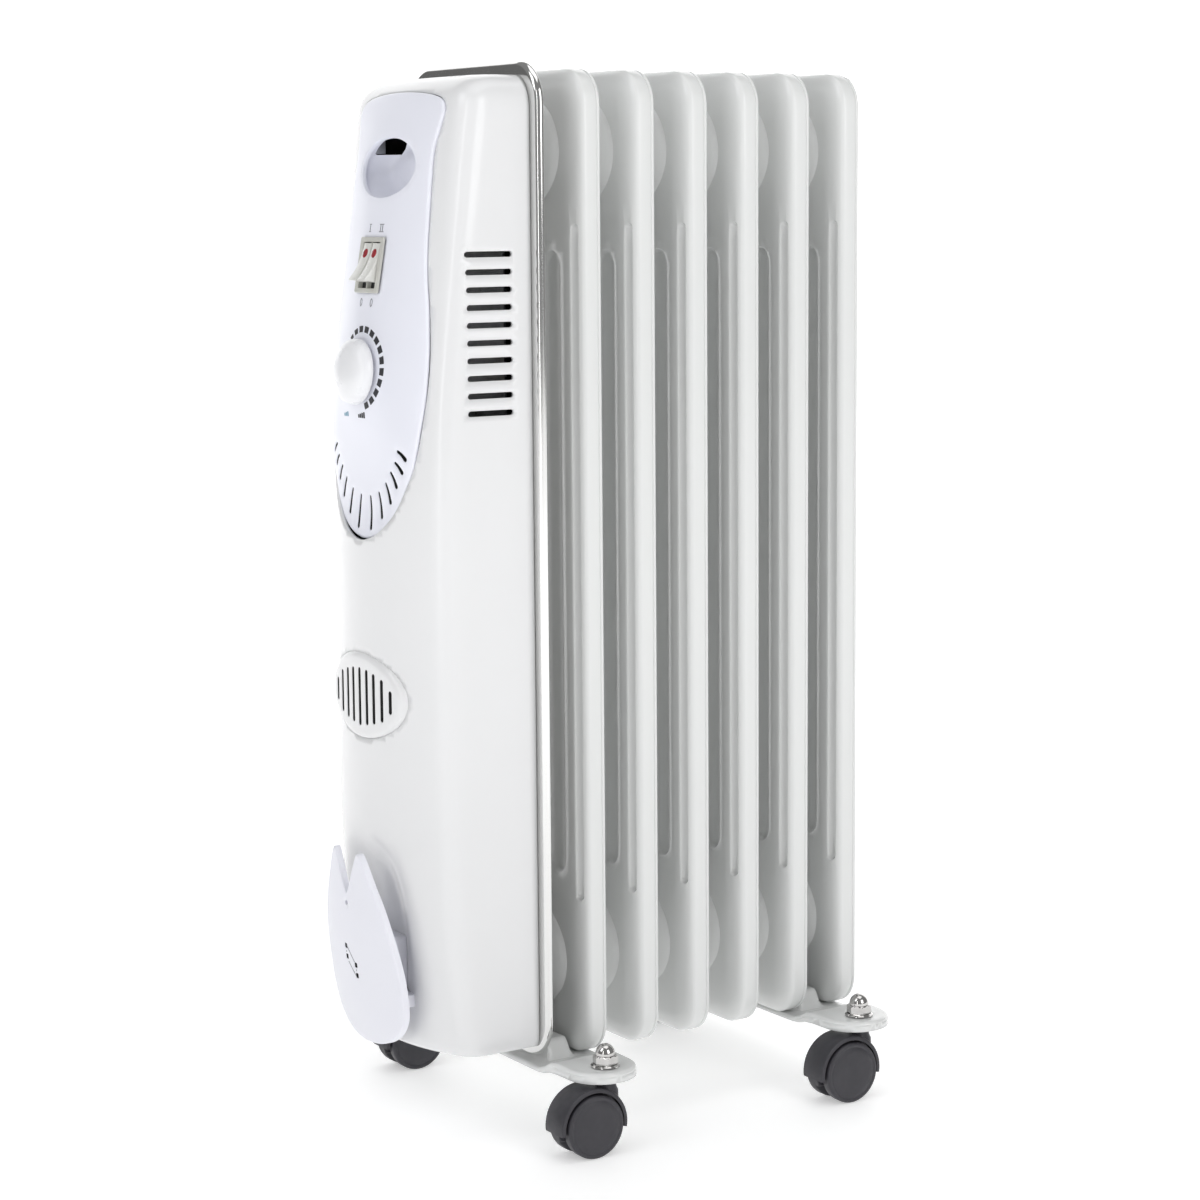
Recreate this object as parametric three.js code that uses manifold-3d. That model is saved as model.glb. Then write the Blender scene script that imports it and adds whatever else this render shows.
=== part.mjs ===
// Oil filled radiator heater on four twin-wheel casters.
// Millimetres, +Z up. The control housing faces -Y, the fins stack towards +Y, +X is the right-hand side.
// Origin: middle of the bounding box in X and Y, floor level in Z.
import * as THREE from 'three';
import { mergeVertices } from 'three/addons/utils/BufferGeometryUtils.js';
import Module from 'manifold-3d';

const wasm = await Module();
wasm.setup();

// ---------------------------------------------------------------- driving dimensions
const Y_SHIFT = -24.88;        // moves the construction datum (rear rim of the first fin) to the centre of the box

const FIN_COUNT = 6;
const FIN_PITCH = 37;
const FIN_W = 140, FIN_H = 576, FIN_Z0 = 44, FIN_R = 20;
const FIN_DEPTH = 14.4;       // front face to rear rim
const FIN_FLANGE = 9.4;       // flat part of the turned edge
const FIN_BEND = 11;          // width of the rounded bend, measured in the face
const FIN_REAR_REC = 3;       // rear sheet sits this far inside the rim
const BOSS_Z = [98, 574];     // lower and upper oil collector
const BOSS_A = 49, BOSS_B = 36, BOSS_R = 25;
const BORE_R = [15, 12];

const PLATE_W = 146, PLATE_Z0 = 46.6, PLATE_Z1 = 623.2, PLATE_R = 24, PLATE_Y0 = -44.15, PLATE_Y1 = -41.15;

const HOUSE_HW = 66, HOUSE_YB = -44.5, HOUSE_Z0 = 55.2, HOUSE_Z1 = 617.3, HOUSE_RC = 14, WALL = 2.6;

const KNOB_Z = 450.5, KNOB_TILT = 5, KNOB_R = 19.2;
const SWITCH_Z = 510, SWITCH_TILT = 9.9;
const GRIP_Z = 565, GRIP_A = 31, GRIP_B = 17;
const GRILLE_Z = 263, GRILLE_A = 42, GRILLE_B = 25;

const STEM_X = 104.3, STEM_Y = [-23.6, 161.4], TRAIL = 13.2;
const WHEEL_R = 18.6, WHEEL_W = 7.2, CASTER_W = 23.4;
const FOOT_HALF = 23, FOOT_END_X = 98, FOOT_END_R = 21.5, FOOT_SKIRT = 41.6, FOOT_LOW = 43.6, FOOT_PAD = 50, FOOT_RIDGE = 54.5, SHEET = 1.6;
const GAP = 0.3;

// ---------------------------------------------------------------- helpers
const V = (x, y, z) => [x, y, z];
const rad = (d) => d * Math.PI / 180;

function toManifold(geometry) {
  const g = geometry.clone();
  for (const name of Object.keys(g.attributes)) if (name !== 'position') g.deleteAttribute(name);
  const m = mergeVertices(g, 1e-4);
  return new wasm.Manifold(new wasm.Mesh({
    numProp: 3,
    vertProperties: new Float32Array(m.attributes.position.array),
    triVerts: new Uint32Array(m.index.array),
  }));
}
function toGeometry(manifold) {
  const mesh = manifold.getMesh();
  const pos = new Float32Array((mesh.vertProperties.length / mesh.numProp) * 3);
  for (let i = 0; i < pos.length / 3; i++)
    for (let k = 0; k < 3; k++) pos[i * 3 + k] = mesh.vertProperties[i * mesh.numProp + k];
  const g = new THREE.BufferGeometry();
  g.setAttribute('position', new THREE.BufferAttribute(pos, 3));
  g.setIndex(new THREE.BufferAttribute(new Uint32Array(mesh.triVerts), 1));
  return g;
}
// closed solid through a list of rings with equal point counts; each ring is capped from its centre at the two ends
function loft(rings) {
  const n = rings[0].length, pos = [], idx = [];
  for (const r of rings) for (const p of r) pos.push(...p);
  for (let k = 0; k < rings.length - 1; k++)
    for (let i = 0; i < n; i++) {
      const a = k * n + i, b = k * n + (i + 1) % n, c = a + n, d = b + n;
      idx.push(a, b, d, a, d, c);
    }
  const cap = (ring, base, flip) => {
    const c = [0, 0, 0];
    for (const p of ring) for (let k = 0; k < 3; k++) c[k] += p[k] / n;
    const ci = pos.length / 3;
    pos.push(...c);
    for (let i = 0; i < n; i++) {
      const a = base + i, b = base + (i + 1) % n;
      if (flip) idx.push(ci, b, a); else idx.push(ci, a, b);
    }
  };
  cap(rings[0], 0, true);
  cap(rings[rings.length - 1], (rings.length - 1) * n, false);
  const g = new THREE.BufferGeometry();
  g.setAttribute('position', new THREE.BufferAttribute(new Float32Array(pos), 3));
  g.setIndex(idx);
  // outward faces whatever the ring direction
  let vol = 0;
  for (let t = 0; t < idx.length; t += 3) {
    const [a, b, c] = [idx[t], idx[t + 1], idx[t + 2]].map((i) => pos.slice(i * 3, i * 3 + 3));
    vol += a[0] * (b[1] * c[2] - b[2] * c[1]) - a[1] * (b[0] * c[2] - b[2] * c[0]) + a[2] * (b[0] * c[1] - b[1] * c[0]);
  }
  if (vol < 0) { for (let t = 0; t < idx.length; t += 3) { const s = idx[t + 1]; idx[t + 1] = idx[t + 2]; idx[t + 2] = s; } g.setIndex(idx); }
  return g;
}
// rounded rectangle in X and Z at depth y, centred on cz
function ringXZ(w, h, r, y, cz, seg = 3) {
  const out = [], hw = w / 2, hh = h / 2;
  for (const [cx, cz2, a0] of [[hw - r, hh - r, 0], [-hw + r, hh - r, 90], [-hw + r, -hh + r, 180], [hw - r, -hh + r, 270]])
    for (let i = 0; i <= seg; i++) {
      const a = rad(a0 + 90 * i / seg);
      out.push(V(cx + r * Math.cos(a), y, cz + cz2 + r * Math.sin(a)));
    }
  return out;
}
const ellipseXZ = (a, b, y, cz, n = 16, cx = 0) => Array.from({ length: n }, (_, i) => {
  const t = 2 * Math.PI * (i + 0.5) / n;
  return V(cx + a * Math.cos(t), y, cz + b * Math.sin(t));
});
const ellipseXY = (a, b, z, cx, cy, n = 16) => Array.from({ length: n }, (_, i) => {
  const t = 2 * Math.PI * (i + 0.5) / n;
  return V(cx + a * Math.cos(t), cy + b * Math.sin(t), z);
});
const rectXY = (x0, x1, y0, y1, z) => [V(x0, y0, z), V(x1, y0, z), V(x1, y1, z), V(x0, y1, z)];
const M = (rings) => toManifold(loft(rings));
const box = (x0, x1, y0, y1, z0, z1) => {
  const g = new THREE.BoxGeometry(x1 - x0, y1 - y0, z1 - z0);
  g.translate((x0 + x1) / 2, (y0 + y1) / 2, (z0 + z1) / 2);
  return toManifold(g);
};
// cylinder along an axis: 'x', 'y' or 'z', from a to b, centred on (u, v) of the other two axes in X, Y, Z order
function cyl(axis, r, a, b, u, v, n = 12, r2 = r) {
  const g = new THREE.CylinderGeometry(r2, r, b - a, n);   // r at the start, r2 at the end
  if (axis === 'z') { g.rotateX(Math.PI / 2); g.translate(u, v, (a + b) / 2); }
  else if (axis === 'x') { g.rotateZ(-Math.PI / 2); g.translate((a + b) / 2, u, v); }
  else g.translate(u, (a + b) / 2, v);
  return toManifold(g);
}
// upright rounded slot cut through depth y0..y1
function stadium(x0, x1, z0, z1, y0, y1, seg = 3) {
  const r = (x1 - x0) / 2, cx = (x0 + x1) / 2, pts = [];
  for (let i = 0; i <= seg; i++) { const t = rad(180 * i / seg); pts.push([cx + r * Math.cos(t), z1 - r + r * Math.sin(t)]); }
  for (let i = 0; i <= seg; i++) { const t = rad(180 + 180 * i / seg); pts.push([cx + r * Math.cos(t), z0 + r + r * Math.sin(t)]); }
  return M([pts.map(([x, z]) => V(x, y0, z)), pts.map(([x, z]) => V(x, y1, z))]);
}
// flat outline [x, z] extruded along Y
function prismXZ(pts, y0, y1) {
  const shape = new THREE.Shape(pts.map(([x, z]) => new THREE.Vector2(x, z)));
  const g = new THREE.ExtrudeGeometry(shape, { depth: y1 - y0, bevelEnabled: false });
  g.rotateX(Math.PI / 2);          // shape Y becomes Z, depth runs along -Y
  g.translate(0, y1, 0);
  return toManifold(g);
}
// round bar bent along a flat polyline, mitred at every bend; up is the normal of the plane it lies in
function bentBar(points, r, sides, up) {
  const P = points.map((p) => new THREE.Vector3(...p)), U = new THREE.Vector3(...up), rings = [];
  for (let i = 0; i < P.length; i++) {
    const d0 = i > 0 ? P[i].clone().sub(P[i - 1]).normalize() : P[1].clone().sub(P[0]).normalize();
    const d1 = i < P.length - 1 ? P[i + 1].clone().sub(P[i]).normalize() : d0.clone();
    const t = d0.clone().add(d1).normalize(), side = new THREE.Vector3().crossVectors(U, t).normalize();
    const stretch = 1 / Math.max(0.5, t.dot(d0));
    rings.push(Array.from({ length: sides }, (_, k) => {
      const a = 2 * Math.PI * (k + 0.5) / sides;
      return P[i].clone().addScaledVector(side, r * Math.cos(a) * stretch).addScaledVector(U, r * Math.sin(a)).toArray();
    }));
  }
  return loft(rings);
}
const lathe = (profile, n) => new THREE.LatheGeometry(profile.map(([r, h]) => new THREE.Vector2(r, h)), n);

// ---------------------------------------------------------------- materials
const mat = (color, roughness, metalness = 0) => new THREE.MeshStandardMaterial({ color, roughness, metalness });
const whiteEnamel = mat(0xf1f1ef, 0.28);
const glossWhite = mat(0xf6f6f7, 0.22);
const coolWhite = mat(0xe9eaf5, 0.38);
const mirrorSteel = mat(0xc9c9c9, 0.06, 1);
const chrome = mat(0xd6d6d6, 0.1, 1);
const charcoal = mat(0x2a2a2e, 0.55);
const lightGrey = mat(0xdcdcd6, 0.4);
const steel = mat(0x9a9a9a, 0.35, 1);
const blackPlastic = mat(0x1b1b1b, 0.6);
const amber = mat(0xb9a27a, 0.6);
const brass = mat(0xb6974f, 0.35, 1);

const heater = new THREE.Group();
heater.position.y = Y_SHIFT;
function add(name, shape, material, parent = heater) {
  const g = shape instanceof wasm.Manifold ? toGeometry(shape) : shape;
  const mesh = new THREE.Mesh(g, material);
  mesh.name = name;
  parent.add(mesh);
  return mesh;
}

// ---------------------------------------------------------------- fins
// A fin is a pressed pair of sheets: a flat face with a broad rounded bend into a turned edge, oil channels between
// long sunk grooves, and an oval collector boss above and below that meets the next fin's boss half way across the gap.
const FIN_CZ = FIN_Z0 + FIN_H / 2;
const MID_GAP = (FIN_PITCH - FIN_DEPTH + FIN_REAR_REC) / 2;      // boss height on each side of the weld plane
function fin(k) {
  const y1 = k * FIN_PITCH, y0 = y1 - FIN_DEPTH;
  const ring = (inset, y) => ringXZ(FIN_W - 2 * inset, FIN_H - 2 * inset, FIN_R - Math.min(inset, FIN_R - 8), y, FIN_CZ);
  let s = M([ring(FIN_BEND, y0), ring(4.2, y0 + 1.4), ring(0, y1 - FIN_FLANGE), ring(0, y1)]);
  s = s.subtract(M([ring(1.4, y1 - FIN_REAR_REC), ring(1.4, y1 + 1)]));
  for (const sx of [-1, 1]) {
    const g = (a, b) => (sx > 0 ? [a, b] : [-b, -a]);
    s = s.subtract(stadium(...g(59.5, 66.6), 138, 533, y0 - 1, y0 + 3.4, 2));
    s = s.subtract(stadium(...g(28, 49), 150, 518, y0 - 1, y0 + 4));
    if (k === FIN_COUNT - 1) s = s.subtract(stadium(...g(28, 49), 150, 518, y1 - FIN_REAR_REC - 3, y1));
  }
  BOSS_Z.forEach((z, i) => {
    const yf = y0 - MID_GAP + GAP / 2;
    const N = 12, rings = [ellipseXZ(BOSS_A, BOSS_B, y0 + 1, z, N), ellipseXZ(BOSS_A - 2, BOSS_B - 2, y0 - 1.5, z, N), ellipseXZ(BOSS_R + 4, BOSS_R + 2, y0 - 8, z, N)];
    rings.push(ellipseXZ(BOSS_R, BOSS_R, yf, z, N));
    s = s.add(M(rings));
    if (k < FIN_COUNT - 1) {
      const yr = y1 - FIN_REAR_REC;
      s = s.add(M([ellipseXZ(BOSS_A - 8, BOSS_B - 4, yr - 1, z, 12), ellipseXZ(BOSS_R + 3, BOSS_R + 1, yr + 7, z, 12), ellipseXZ(BOSS_R, BOSS_R, yr + MID_GAP - GAP / 2, z, 12)]));
      s = s.subtract(cyl('y', BORE_R[i], yf - 5, y1 + 20, 0, z, 10));
    } else s = s.subtract(cyl('y', BORE_R[i], yf - 5, y0 + 6, 0, z, 10));
  });
  return s;
}
for (let k = 0; k < FIN_COUNT; k++) add(`fin_${k + 1}`, fin(k), whiteEnamel);
// turned ends of the two collectors: the lower one is the socket of the heating element, the upper one is blind
{
  const ya = PLATE_Y0 + 1.5 + GAP, yb = -FIN_DEPTH - MID_GAP + GAP / 2 - GAP;
  add('element_socket', cyl('y', BOSS_R - 2, ya, yb, 0, BOSS_Z[0], 16).subtract(cyl('y', BORE_R[0], ya - 2, yb + 2, 0, BOSS_Z[0], 12)), whiteEnamel);
  add('collector_cap', cyl('y', BOSS_R - 2, ya, yb, 0, BOSS_Z[1], 16).subtract(cyl('y', BORE_R[1], ya + 4, yb + 2, 0, BOSS_Z[1], 12)), whiteEnamel);
}

// ---------------------------------------------------------------- mirror-finished end plate between housing and fins
{
  const cz = (PLATE_Z0 + PLATE_Z1) / 2, h = PLATE_Z1 - PLATE_Z0;
  const ring = (inset, y) => ringXZ(PLATE_W - 2 * inset, h - 2 * inset, PLATE_R - inset, y, cz, 5);
  let s = M([ring(0.9, PLATE_Y0), ring(0, PLATE_Y0 + 0.9), ring(0, PLATE_Y1)]);
  s = s.subtract(M([ring(1.2, PLATE_Y0 + 1.2), ring(1.2, PLATE_Y1 + 1)]));
  s = s.subtract(cyl('y', 16, PLATE_Y0 - 1, PLATE_Y1, 0, BOSS_Z[0], 16));
  add('mirror_end_plate', s, mirrorSteel);
}

// ---------------------------------------------------------------- control housing, a deep shell open towards the end plate
// plan section at height z: straight sides, small front corners, bowed front of radius R(z)
const lerpTable = (t) => (z) => {
  if (z <= t[0][0]) return t[0][1];
  for (let i = 1; i < t.length; i++) if (z <= t[i][0]) {
    const u = (z - t[i - 1][0]) / (t[i][0] - t[i - 1][0]);
    return t[i - 1][1] + u * (t[i][1] - t[i - 1][1]);
  }
  return t[t.length - 1][1];
};
const frontY = lerpTable([[55.2, -104.4], [57, -107.3], [60, -109.1], [66, -110.8], [80, -113.5], [110, -117.5], [150, -120.5], [200, -122], [280, -122.5], [350, -122.2], [410, -120.8], [450, -117.8], [490, -112.6], [530, -105.6], [570, -98], [600, -90.6], [606, -88.8], [611, -85.5], [615, -78.5], [617.3, -67]]);
const curve = lerpTable([[55.2, 1 / 114], [450, 1 / 116], [490, 1 / 122], [530, 1 / 150], [570, 1 / 205], [600, 1 / 357], [617.3, 1 / 400]]);
const halfW = lerpTable([[55.2, HOUSE_HW - 3.4], [57, HOUSE_HW - 1.5], [60, HOUSE_HW - 0.6], [66, HOUSE_HW], [590, HOUSE_HW], [604, HOUSE_HW - 1.5], [611, HOUSE_HW - 5], [615, HOUSE_HW - 9.5], [617.3, HOUSE_HW - 16]]);
function section(z, off, zi, yBack, segC = 4, inner = [0.72, 0.36]) {
  const hw = halfW(zi) + off, yc = frontY(zi) - off, c = curve(zi), rc = HOUSE_RC;
  // bend angle where the bowed front meets the corner arc
  let t0 = 0.4;
  for (let i = 0; i < 12; i++) t0 = Math.atan((hw - rc + rc * Math.sin(t0)) * c);
  const x1 = hw - rc + rc * Math.sin(t0), yk = yc + x1 * x1 * c / 2 + rc * Math.cos(t0);
  const half = [V(hw, yBack, z)];
  for (let i = 0; i <= segC; i++) {
    const t = Math.PI / 2 - (Math.PI / 2 - t0) * i / segC;
    half.push(V(hw - rc + rc * Math.sin(t), yk - rc * Math.cos(t), z));
  }
  for (const f of inner) { const x = x1 * f; half.push(V(x, yc + x * x * c / 2, z)); }
  const out = [...half, V(0, yc, z)];
  for (let i = half.length - 1; i >= 0; i--) out.push(V(-half[i][0], half[i][1], z));
  return out;
}
const HOUSE_LEVELS = [55.2, 57, 60, 66, 85, 120, 180, 280, 380, 430, 480, 530, 570, 602, 611, 615, 617.3];
function houseSolid(off, yBack) {
  return M(HOUSE_LEVELS.map((z) => section(z === HOUSE_Z0 ? z - off : z === HOUSE_Z1 ? z + off : z, off, z, yBack)));
}
// inner hollow, coarser than the outside: its chords only ever leave more wall
const HOLLOW_LEVELS = [55.2, 66, 120, 220, 380, 480, 570, 606, 617.3];
function houseHollow(t, yBack) {
  const z0 = HOUSE_Z0 + t, z1 = HOUSE_Z1 - t;
  return M(HOLLOW_LEVELS.map((z) => section(z0 + (z - HOUSE_Z0) / (HOUSE_Z1 - HOUSE_Z0) * (z1 - z0), -t, z, yBack, 2, [0.5])));
}
const ARCH_HALF = [[52, 40], [50, 90], [46.5, 134], [43.5, 158], [37, 174], [28, 183], [14, 187.5], [0, 188.5]];
const archOutline = (grow) => {
  const right = ARCH_HALF.map(([x, z]) => [x === 0 ? 0 : x + grow, z + (z > 150 ? grow : 0)]);
  return [...right, ...right.slice(0, -1).reverse().map(([x, z]) => [-x, z])];
};
const FACIA_HALF = [[0, 607.5], [22, 606.7], [38, 604.5], [44.6, 602], [48.2, 598], [48.2, 594], [46.2, 585], [44.2, 574], [44.4, 562], [45.6, 541], [47.2, 516], [50.2, 496], [53.4, 475], [54.8, 455], [54, 436], [51.5, 414], [47.1, 396.5], [41.4, 384.9], [34.6, 372.5], [26.5, 363.9], [14, 356.5], [0, 353.7]];
function faciaOutline(grow) {
  const cz = 480;
  const right = FACIA_HALF.map(([x, z]) => [x === 0 ? 0 : x + grow, z + (x === 0 ? Math.sign(z - cz) * grow : Math.max(-grow, Math.min(grow, (z - cz) / 60 * grow)))]);
  const left = right.slice(1, -1).reverse().map(([x, z]) => [-x, z]);
  return [...right, ...left].reverse();
}
const REC_FLOOR = -102;      // floor of the arched recess behind the cord wrap
{
  const outer = houseSolid(0, HOUSE_YB);
  const hollow = houseHollow(WALL, HOUSE_YB + 5);
  const recess = prismXZ(archOutline(0), -140, REC_FLOOR);
  const recessBack = prismXZ(archOutline(WALL), -150, REC_FLOOR + WALL);
  let s = outer.subtract(recess).subtract(hollow.subtract(recessBack));
  s = s.subtract(prismXZ(faciaOutline(GAP), -140, -70));
  s = s.subtract(M([ellipseXZ(GRILLE_A + GAP, GRILLE_B + GAP, -140, GRILLE_Z, 24), ellipseXZ(GRILLE_A + GAP, GRILLE_B + GAP, -70, GRILLE_Z, 24)]));
  // ten rounded slots in each side
  for (let i = 0; i < 10; i++) {
    const z = 516.3 - i * 9.86;
    for (const sx of [-1, 1]) {
      const pts = [[-86.4, 1.7], [-56.8, 1.7], [-56.8, -1.7], [-86.4, -1.7]];
      s = s.subtract(M([pts.map(([y, dz]) => V(sx * 60, y, z + dz)), pts.map(([y, dz]) => V(sx * 70, y, z + dz))]));
    }
  }
  // holes of the cord wrap bracket screws and of the cord bushing
  s = s.subtract(cyl('y', 6.3, REC_FLOOR - 3, REC_FLOOR + 5, -28, 78, 12));
  add('control_housing', s, glossWhite);
}

// ---------------------------------------------------------------- control facia, a tongue let into the bowed front
// its face stands a little proud above, and sinks into a flatter hollow at the louvred lower end
const faciaY = lerpTable([[340, -119.8], [354, -119.2], [362, -118], [375, -117.1], [390, -117.2], [405, -117.9], [420, -119.4], [435, -120.3], [450, -119.5], [465, -117.8], [489, -114.5], [510, -110.8], [531, -107.2], [572, -99.4], [601, -92], [615, -87.5]]);
const faciaA = lerpTable([[340, 0], [400, 0.0002], [435, 0.0034], [450, 0.0042], [490, 0.0041], [531, 0.0033], [572, 0.0024], [601, 0.0015], [615, 0.0013]]);
const faciaB = lerpTable([[340, 1.1e-6], [400, 9e-7], [435, 3e-7], [450, 0], [615, 0]]);
const faciaSurface = (x, z) => faciaY(z) + faciaA(z) * x * x + faciaB(z) * x ** 4;
const FACIA_T = 2.4;
const faciaSolid = (off) => M([340, 362, 385, 405, 420, 435, 450, 470, 490, 531, 572, 601, 615].map((z) => {
  const xs = [-60, -49, -36, -20, 0, 20, 36, 49, 60];
  return [...xs.map((x) => V(x, faciaSurface(x, z) + off, z)), V(60, -60, z), V(-60, -60, z)];
}));
// a control's own frame: its origin on the facia, its -Y pointing out of the facia
const controlFrame = (z, tilt) => {
  const g = new THREE.Group();
  g.position.set(0, faciaY(z), z);
  g.rotation.x = -rad(tilt);
  return g;
};
const inGroup = (shape, z, tilt) => {
  // a cutting shape given in a control's frame, carried to the heater's frame
  const g = toGeometry(shape);
  const m = new THREE.Matrix4().makeRotationX(-rad(tilt));
  m.setPosition(0, faciaY(z), z);
  g.applyMatrix4(m);
  return toManifold(g);
};
{
  let s = faciaSolid(0).subtract(faciaSolid(FACIA_T)).intersect(prismXZ(faciaOutline(0), -140, -80));
  s = s.subtract(M([ellipseXZ(GRIP_A, GRIP_B, -140, GRIP_Z, 24), ellipseXZ(GRIP_A, GRIP_B, -80, GRIP_Z, 24)]));
  s = s.subtract(inGroup(box(-11.3, 11.3, -6, 12, -14.3, 14.3), SWITCH_Z, SWITCH_TILT));
  s = s.subtract(inGroup(cyl('y', 7.5, -10, 12, 0, 0, 16), KNOB_Z, KNOB_TILT));
  // twelve curved louvre slots fanned round the lower end
  const fan = [[-39.2, 404.2, -42, 402.3, 3.4], [-36, 397.5, -38.9, 394.8, 3], [-31.4, 390.2, -33.6, 386.6, 4.2], [-26, 381.6, -27.8, 377.3, 6], [-17.5, 374.5, -19.1, 368.3, 7], [-6.6, 369.5, -7.3, 361, 9]];
  for (const [xi, zi, xo, zo, ext] of [...fan, ...fan.map(([a, b, c, d, e]) => [-a, b, -c, d, e])]) {
    // every slot runs from its inner end to its outer end, 2.2 wide
    const ux = xo - xi, uz = zo - zi, l = Math.hypot(ux, uz), nx = -uz / l * 1.1, nz = ux / l * 1.1, ex = ux / l * ext, ez = uz / l * ext;
    const pts = [[xi - ex + nx, zi - ez + nz], [xi - ex - nx, zi - ez - nz], [xo - nx, zo - nz], [xo + nx, zo + nz]];
    s = s.subtract(M([pts.map(([X, Z]) => V(X, -135, Z)), pts.map(([X, Z]) => V(X, -90, Z))]));
  }
  add('control_facia', s, coolWhite);
}
// finger scoop behind the grip opening: a bowl whose upper half is open towards the inside of the housing
{
  const cy = faciaY(GRIP_Z) + 6;
  const bowl = (a, b, d) => M([ellipseXZ(a, b, cy - 12, GRIP_Z, 16), ellipseXZ(a, b, cy + 6, GRIP_Z, 16), ellipseXZ(a * 0.92, b * 0.9, cy + d * 0.6, GRIP_Z, 16), ellipseXZ(a * 0.6, b * 0.5, cy + d, GRIP_Z, 16)]);
  let s = bowl(GRIP_A + 3, GRIP_B + 3, 22).subtract(bowl(GRIP_A + 1, GRIP_B + 1, 20)).intersect(faciaSolid(FACIA_T + GAP));
  s = s.subtract(box(-24, 24, cy + 4, cy + 40, GRIP_Z + 7, GRIP_Z + 40));
  add('grip_scoop', s, coolWhite);
}

// ---------------------------------------------------------------- lower oval grille, a low pillow flatter than the housing
{
  const face = (off) => M([200, 320].map((z) => [...[-55, -40, -24, -8, 8, 24, 40, 55].map((x) => V(x, -123.6 + off + x * x / 356, z)), V(55, -80, z), V(-55, -80, z)]));
  const oval = (a, b, y0 = -140, y1 = -80) => M([ellipseXZ(a, b, y0, GRILLE_Z, 24), ellipseXZ(a, b, y1, GRILLE_Z, 24)]);
  let s = oval(GRILLE_A, GRILLE_B).intersect(face(0).subtract(face(2.4)));
  s = s.add(oval(GRILLE_A, GRILLE_B, -140, -111.6).subtract(oval(GRILLE_A - 3, GRILLE_B - 3)).intersect(face(0)));
  for (const [x, z0, z1] of [[0, 245.2, 279.3], [7.9, 246.2, 278.7], [15.5, 247.8, 277.2], [23.6, 250, 274.8], [31.6, 255.6, 269.2]])
    for (const sx of x ? [-x, x] : [0]) s = s.subtract(box(sx - 1.3, sx + 1.3, -130, -100, z0, z1));
  add('lower_grille', s, glossWhite);
}

// ---------------------------------------------------------------- double rocker switch
{
  const g = controlFrame(SWITCH_Z, SWITCH_TILT);
  heater.add(g);
  let s = box(-13.5, 13.5, -1.5, -GAP, -16, 16).add(box(-11, 11, -1, 22, -14, 14));
  for (const sx of [-1, 1]) s = s.subtract(box(sx > 0 ? 0.5 : -10, sx > 0 ? 10 : -0.5, -5, 11, -13.2, 13.2));
  add('switch_body', s, lightGrey, g);
  // rockers: pressed in at the top, standing out at the bottom; they turn about X through the frame's origin
  ['rocker_switch_left', 'rocker_switch_right'].forEach((name, i) => {
    const x0 = i === 0 ? -9.7 : 0.8, x1 = x0 + 8.9;
    const prof = [[12.6, -1.4], [0, -3.4], [-11.4, -6.2], [-12.4, 2.0], [-6, 5.6], [6, 5.6], [12.6, 2.4]];   // [z, y]
    const r = M([prof.map(([z, y]) => V(x0, y, z)), prof.map(([z, y]) => V(x1, y, z))]);
    add(name, r, lightGrey, g);
  });
}

// ---------------------------------------------------------------- thermostat knob, shaft and body
{
  const g = controlFrame(KNOB_Z, KNOB_TILT);
  heater.add(g);
  const prof = [[0, 3], [6, 3], [6, -0.8], [KNOB_R - 0.6, -0.8], [KNOB_R, -1.8], [KNOB_R - 1.2, -6.4], [KNOB_R - 4.5, -9.6], [8, -11.4], [0, -11.8]];
  let s = toManifold(lathe(prof.reverse(), 20));
  s = s.subtract(cyl('y', 3.3, -8, 5, 0, 0, 12));
  add('thermostat_knob', s, coolWhite, g);
  let sh = cyl('y', 3, -7.6, 16, 0, 0, 12);
  add('thermostat_shaft', sh, brass, g);
  let b = box(-17, 17, 8, 30, -15, 15).subtract(cyl('y', 3.3, 5, 16.4, 0, 0, 12)).add(cyl('y', 5.6, 4.2, 9, 0, 0, 12).subtract(cyl('y', 3.3, 2, 12, 0, 0, 12)));
  add('thermostat_body', b, amber, g);
}

// ---------------------------------------------------------------- cord wrap: a leaf-shaped shell, bowed like the housing, on a post in the arched recess
const WRAP_T = 4;
const wrapY = lerpTable([[40, -118.5], [56, -122.6], [61, -124.2], [70, -126.6], [83, -129.3], [102, -131.9], [121, -134.1], [135, -135], [155, -135.5], [180, -136.2]]);
const wrapSolid = (off) => M([40, 61, 80, 102, 125, 150, 180].map((z) => [...[-48, -32, -16, 0, 16, 32, 48].map((x) => V(x, wrapY(z) + x * x / 228 + off, z)), V(48, -60, z), V(-48, -60, z)]));
{
  const half = [[0, 55.5], [12, 56.2], [22, 60], [31.7, 65.2], [37.5, 70.5], [40.9, 77.5], [42.6, 86], [42.9, 95], [41.6, 111], [39.7, 121], [35.2, 135], [30.6, 145], [25, 155.6], [19.7, 165.8], [15.2, 172.6], [13.4, 172.6], [10, 166], [5, 156], [0, 146.5]];
  const pts = [...half, ...half.slice(1, -1).reverse().map(([x, z]) => [-x, z])].reverse();
  let s = wrapSolid(0).subtract(wrapSolid(WRAP_T)).intersect(prismXZ(pts, -150, -90));
  s = s.subtract(cyl('y', 1.8, -150, -90, 0, 141, 8));
  for (const [x, z] of [[-4.8, 114.2], [-4.8, 107.8], [4.8, 104.4], [4.8, 98]]) s = s.subtract(box(x - 1, x + 1, -150, -90, z - 1.1, z + 1.1));
  add('cord_wrap_plate', s, glossWhite);
}
{
  // hollow post screwed to the floor of the recess
  let s = box(-12, 12, -140, REC_FLOOR - GAP, 80, 117).subtract(box(-9, 9, -150, REC_FLOOR + 5, 83, 114));
  s = s.add(box(-14, 14, REC_FLOOR - 2.3, REC_FLOOR - GAP, 76, 120).subtract(box(-9, 9, REC_FLOOR - 5, REC_FLOOR + 5, 83, 114)));
  s = s.intersect(wrapSolid(WRAP_T + GAP));
  add('cord_wrap_bracket', s, lightGrey);
}
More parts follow.
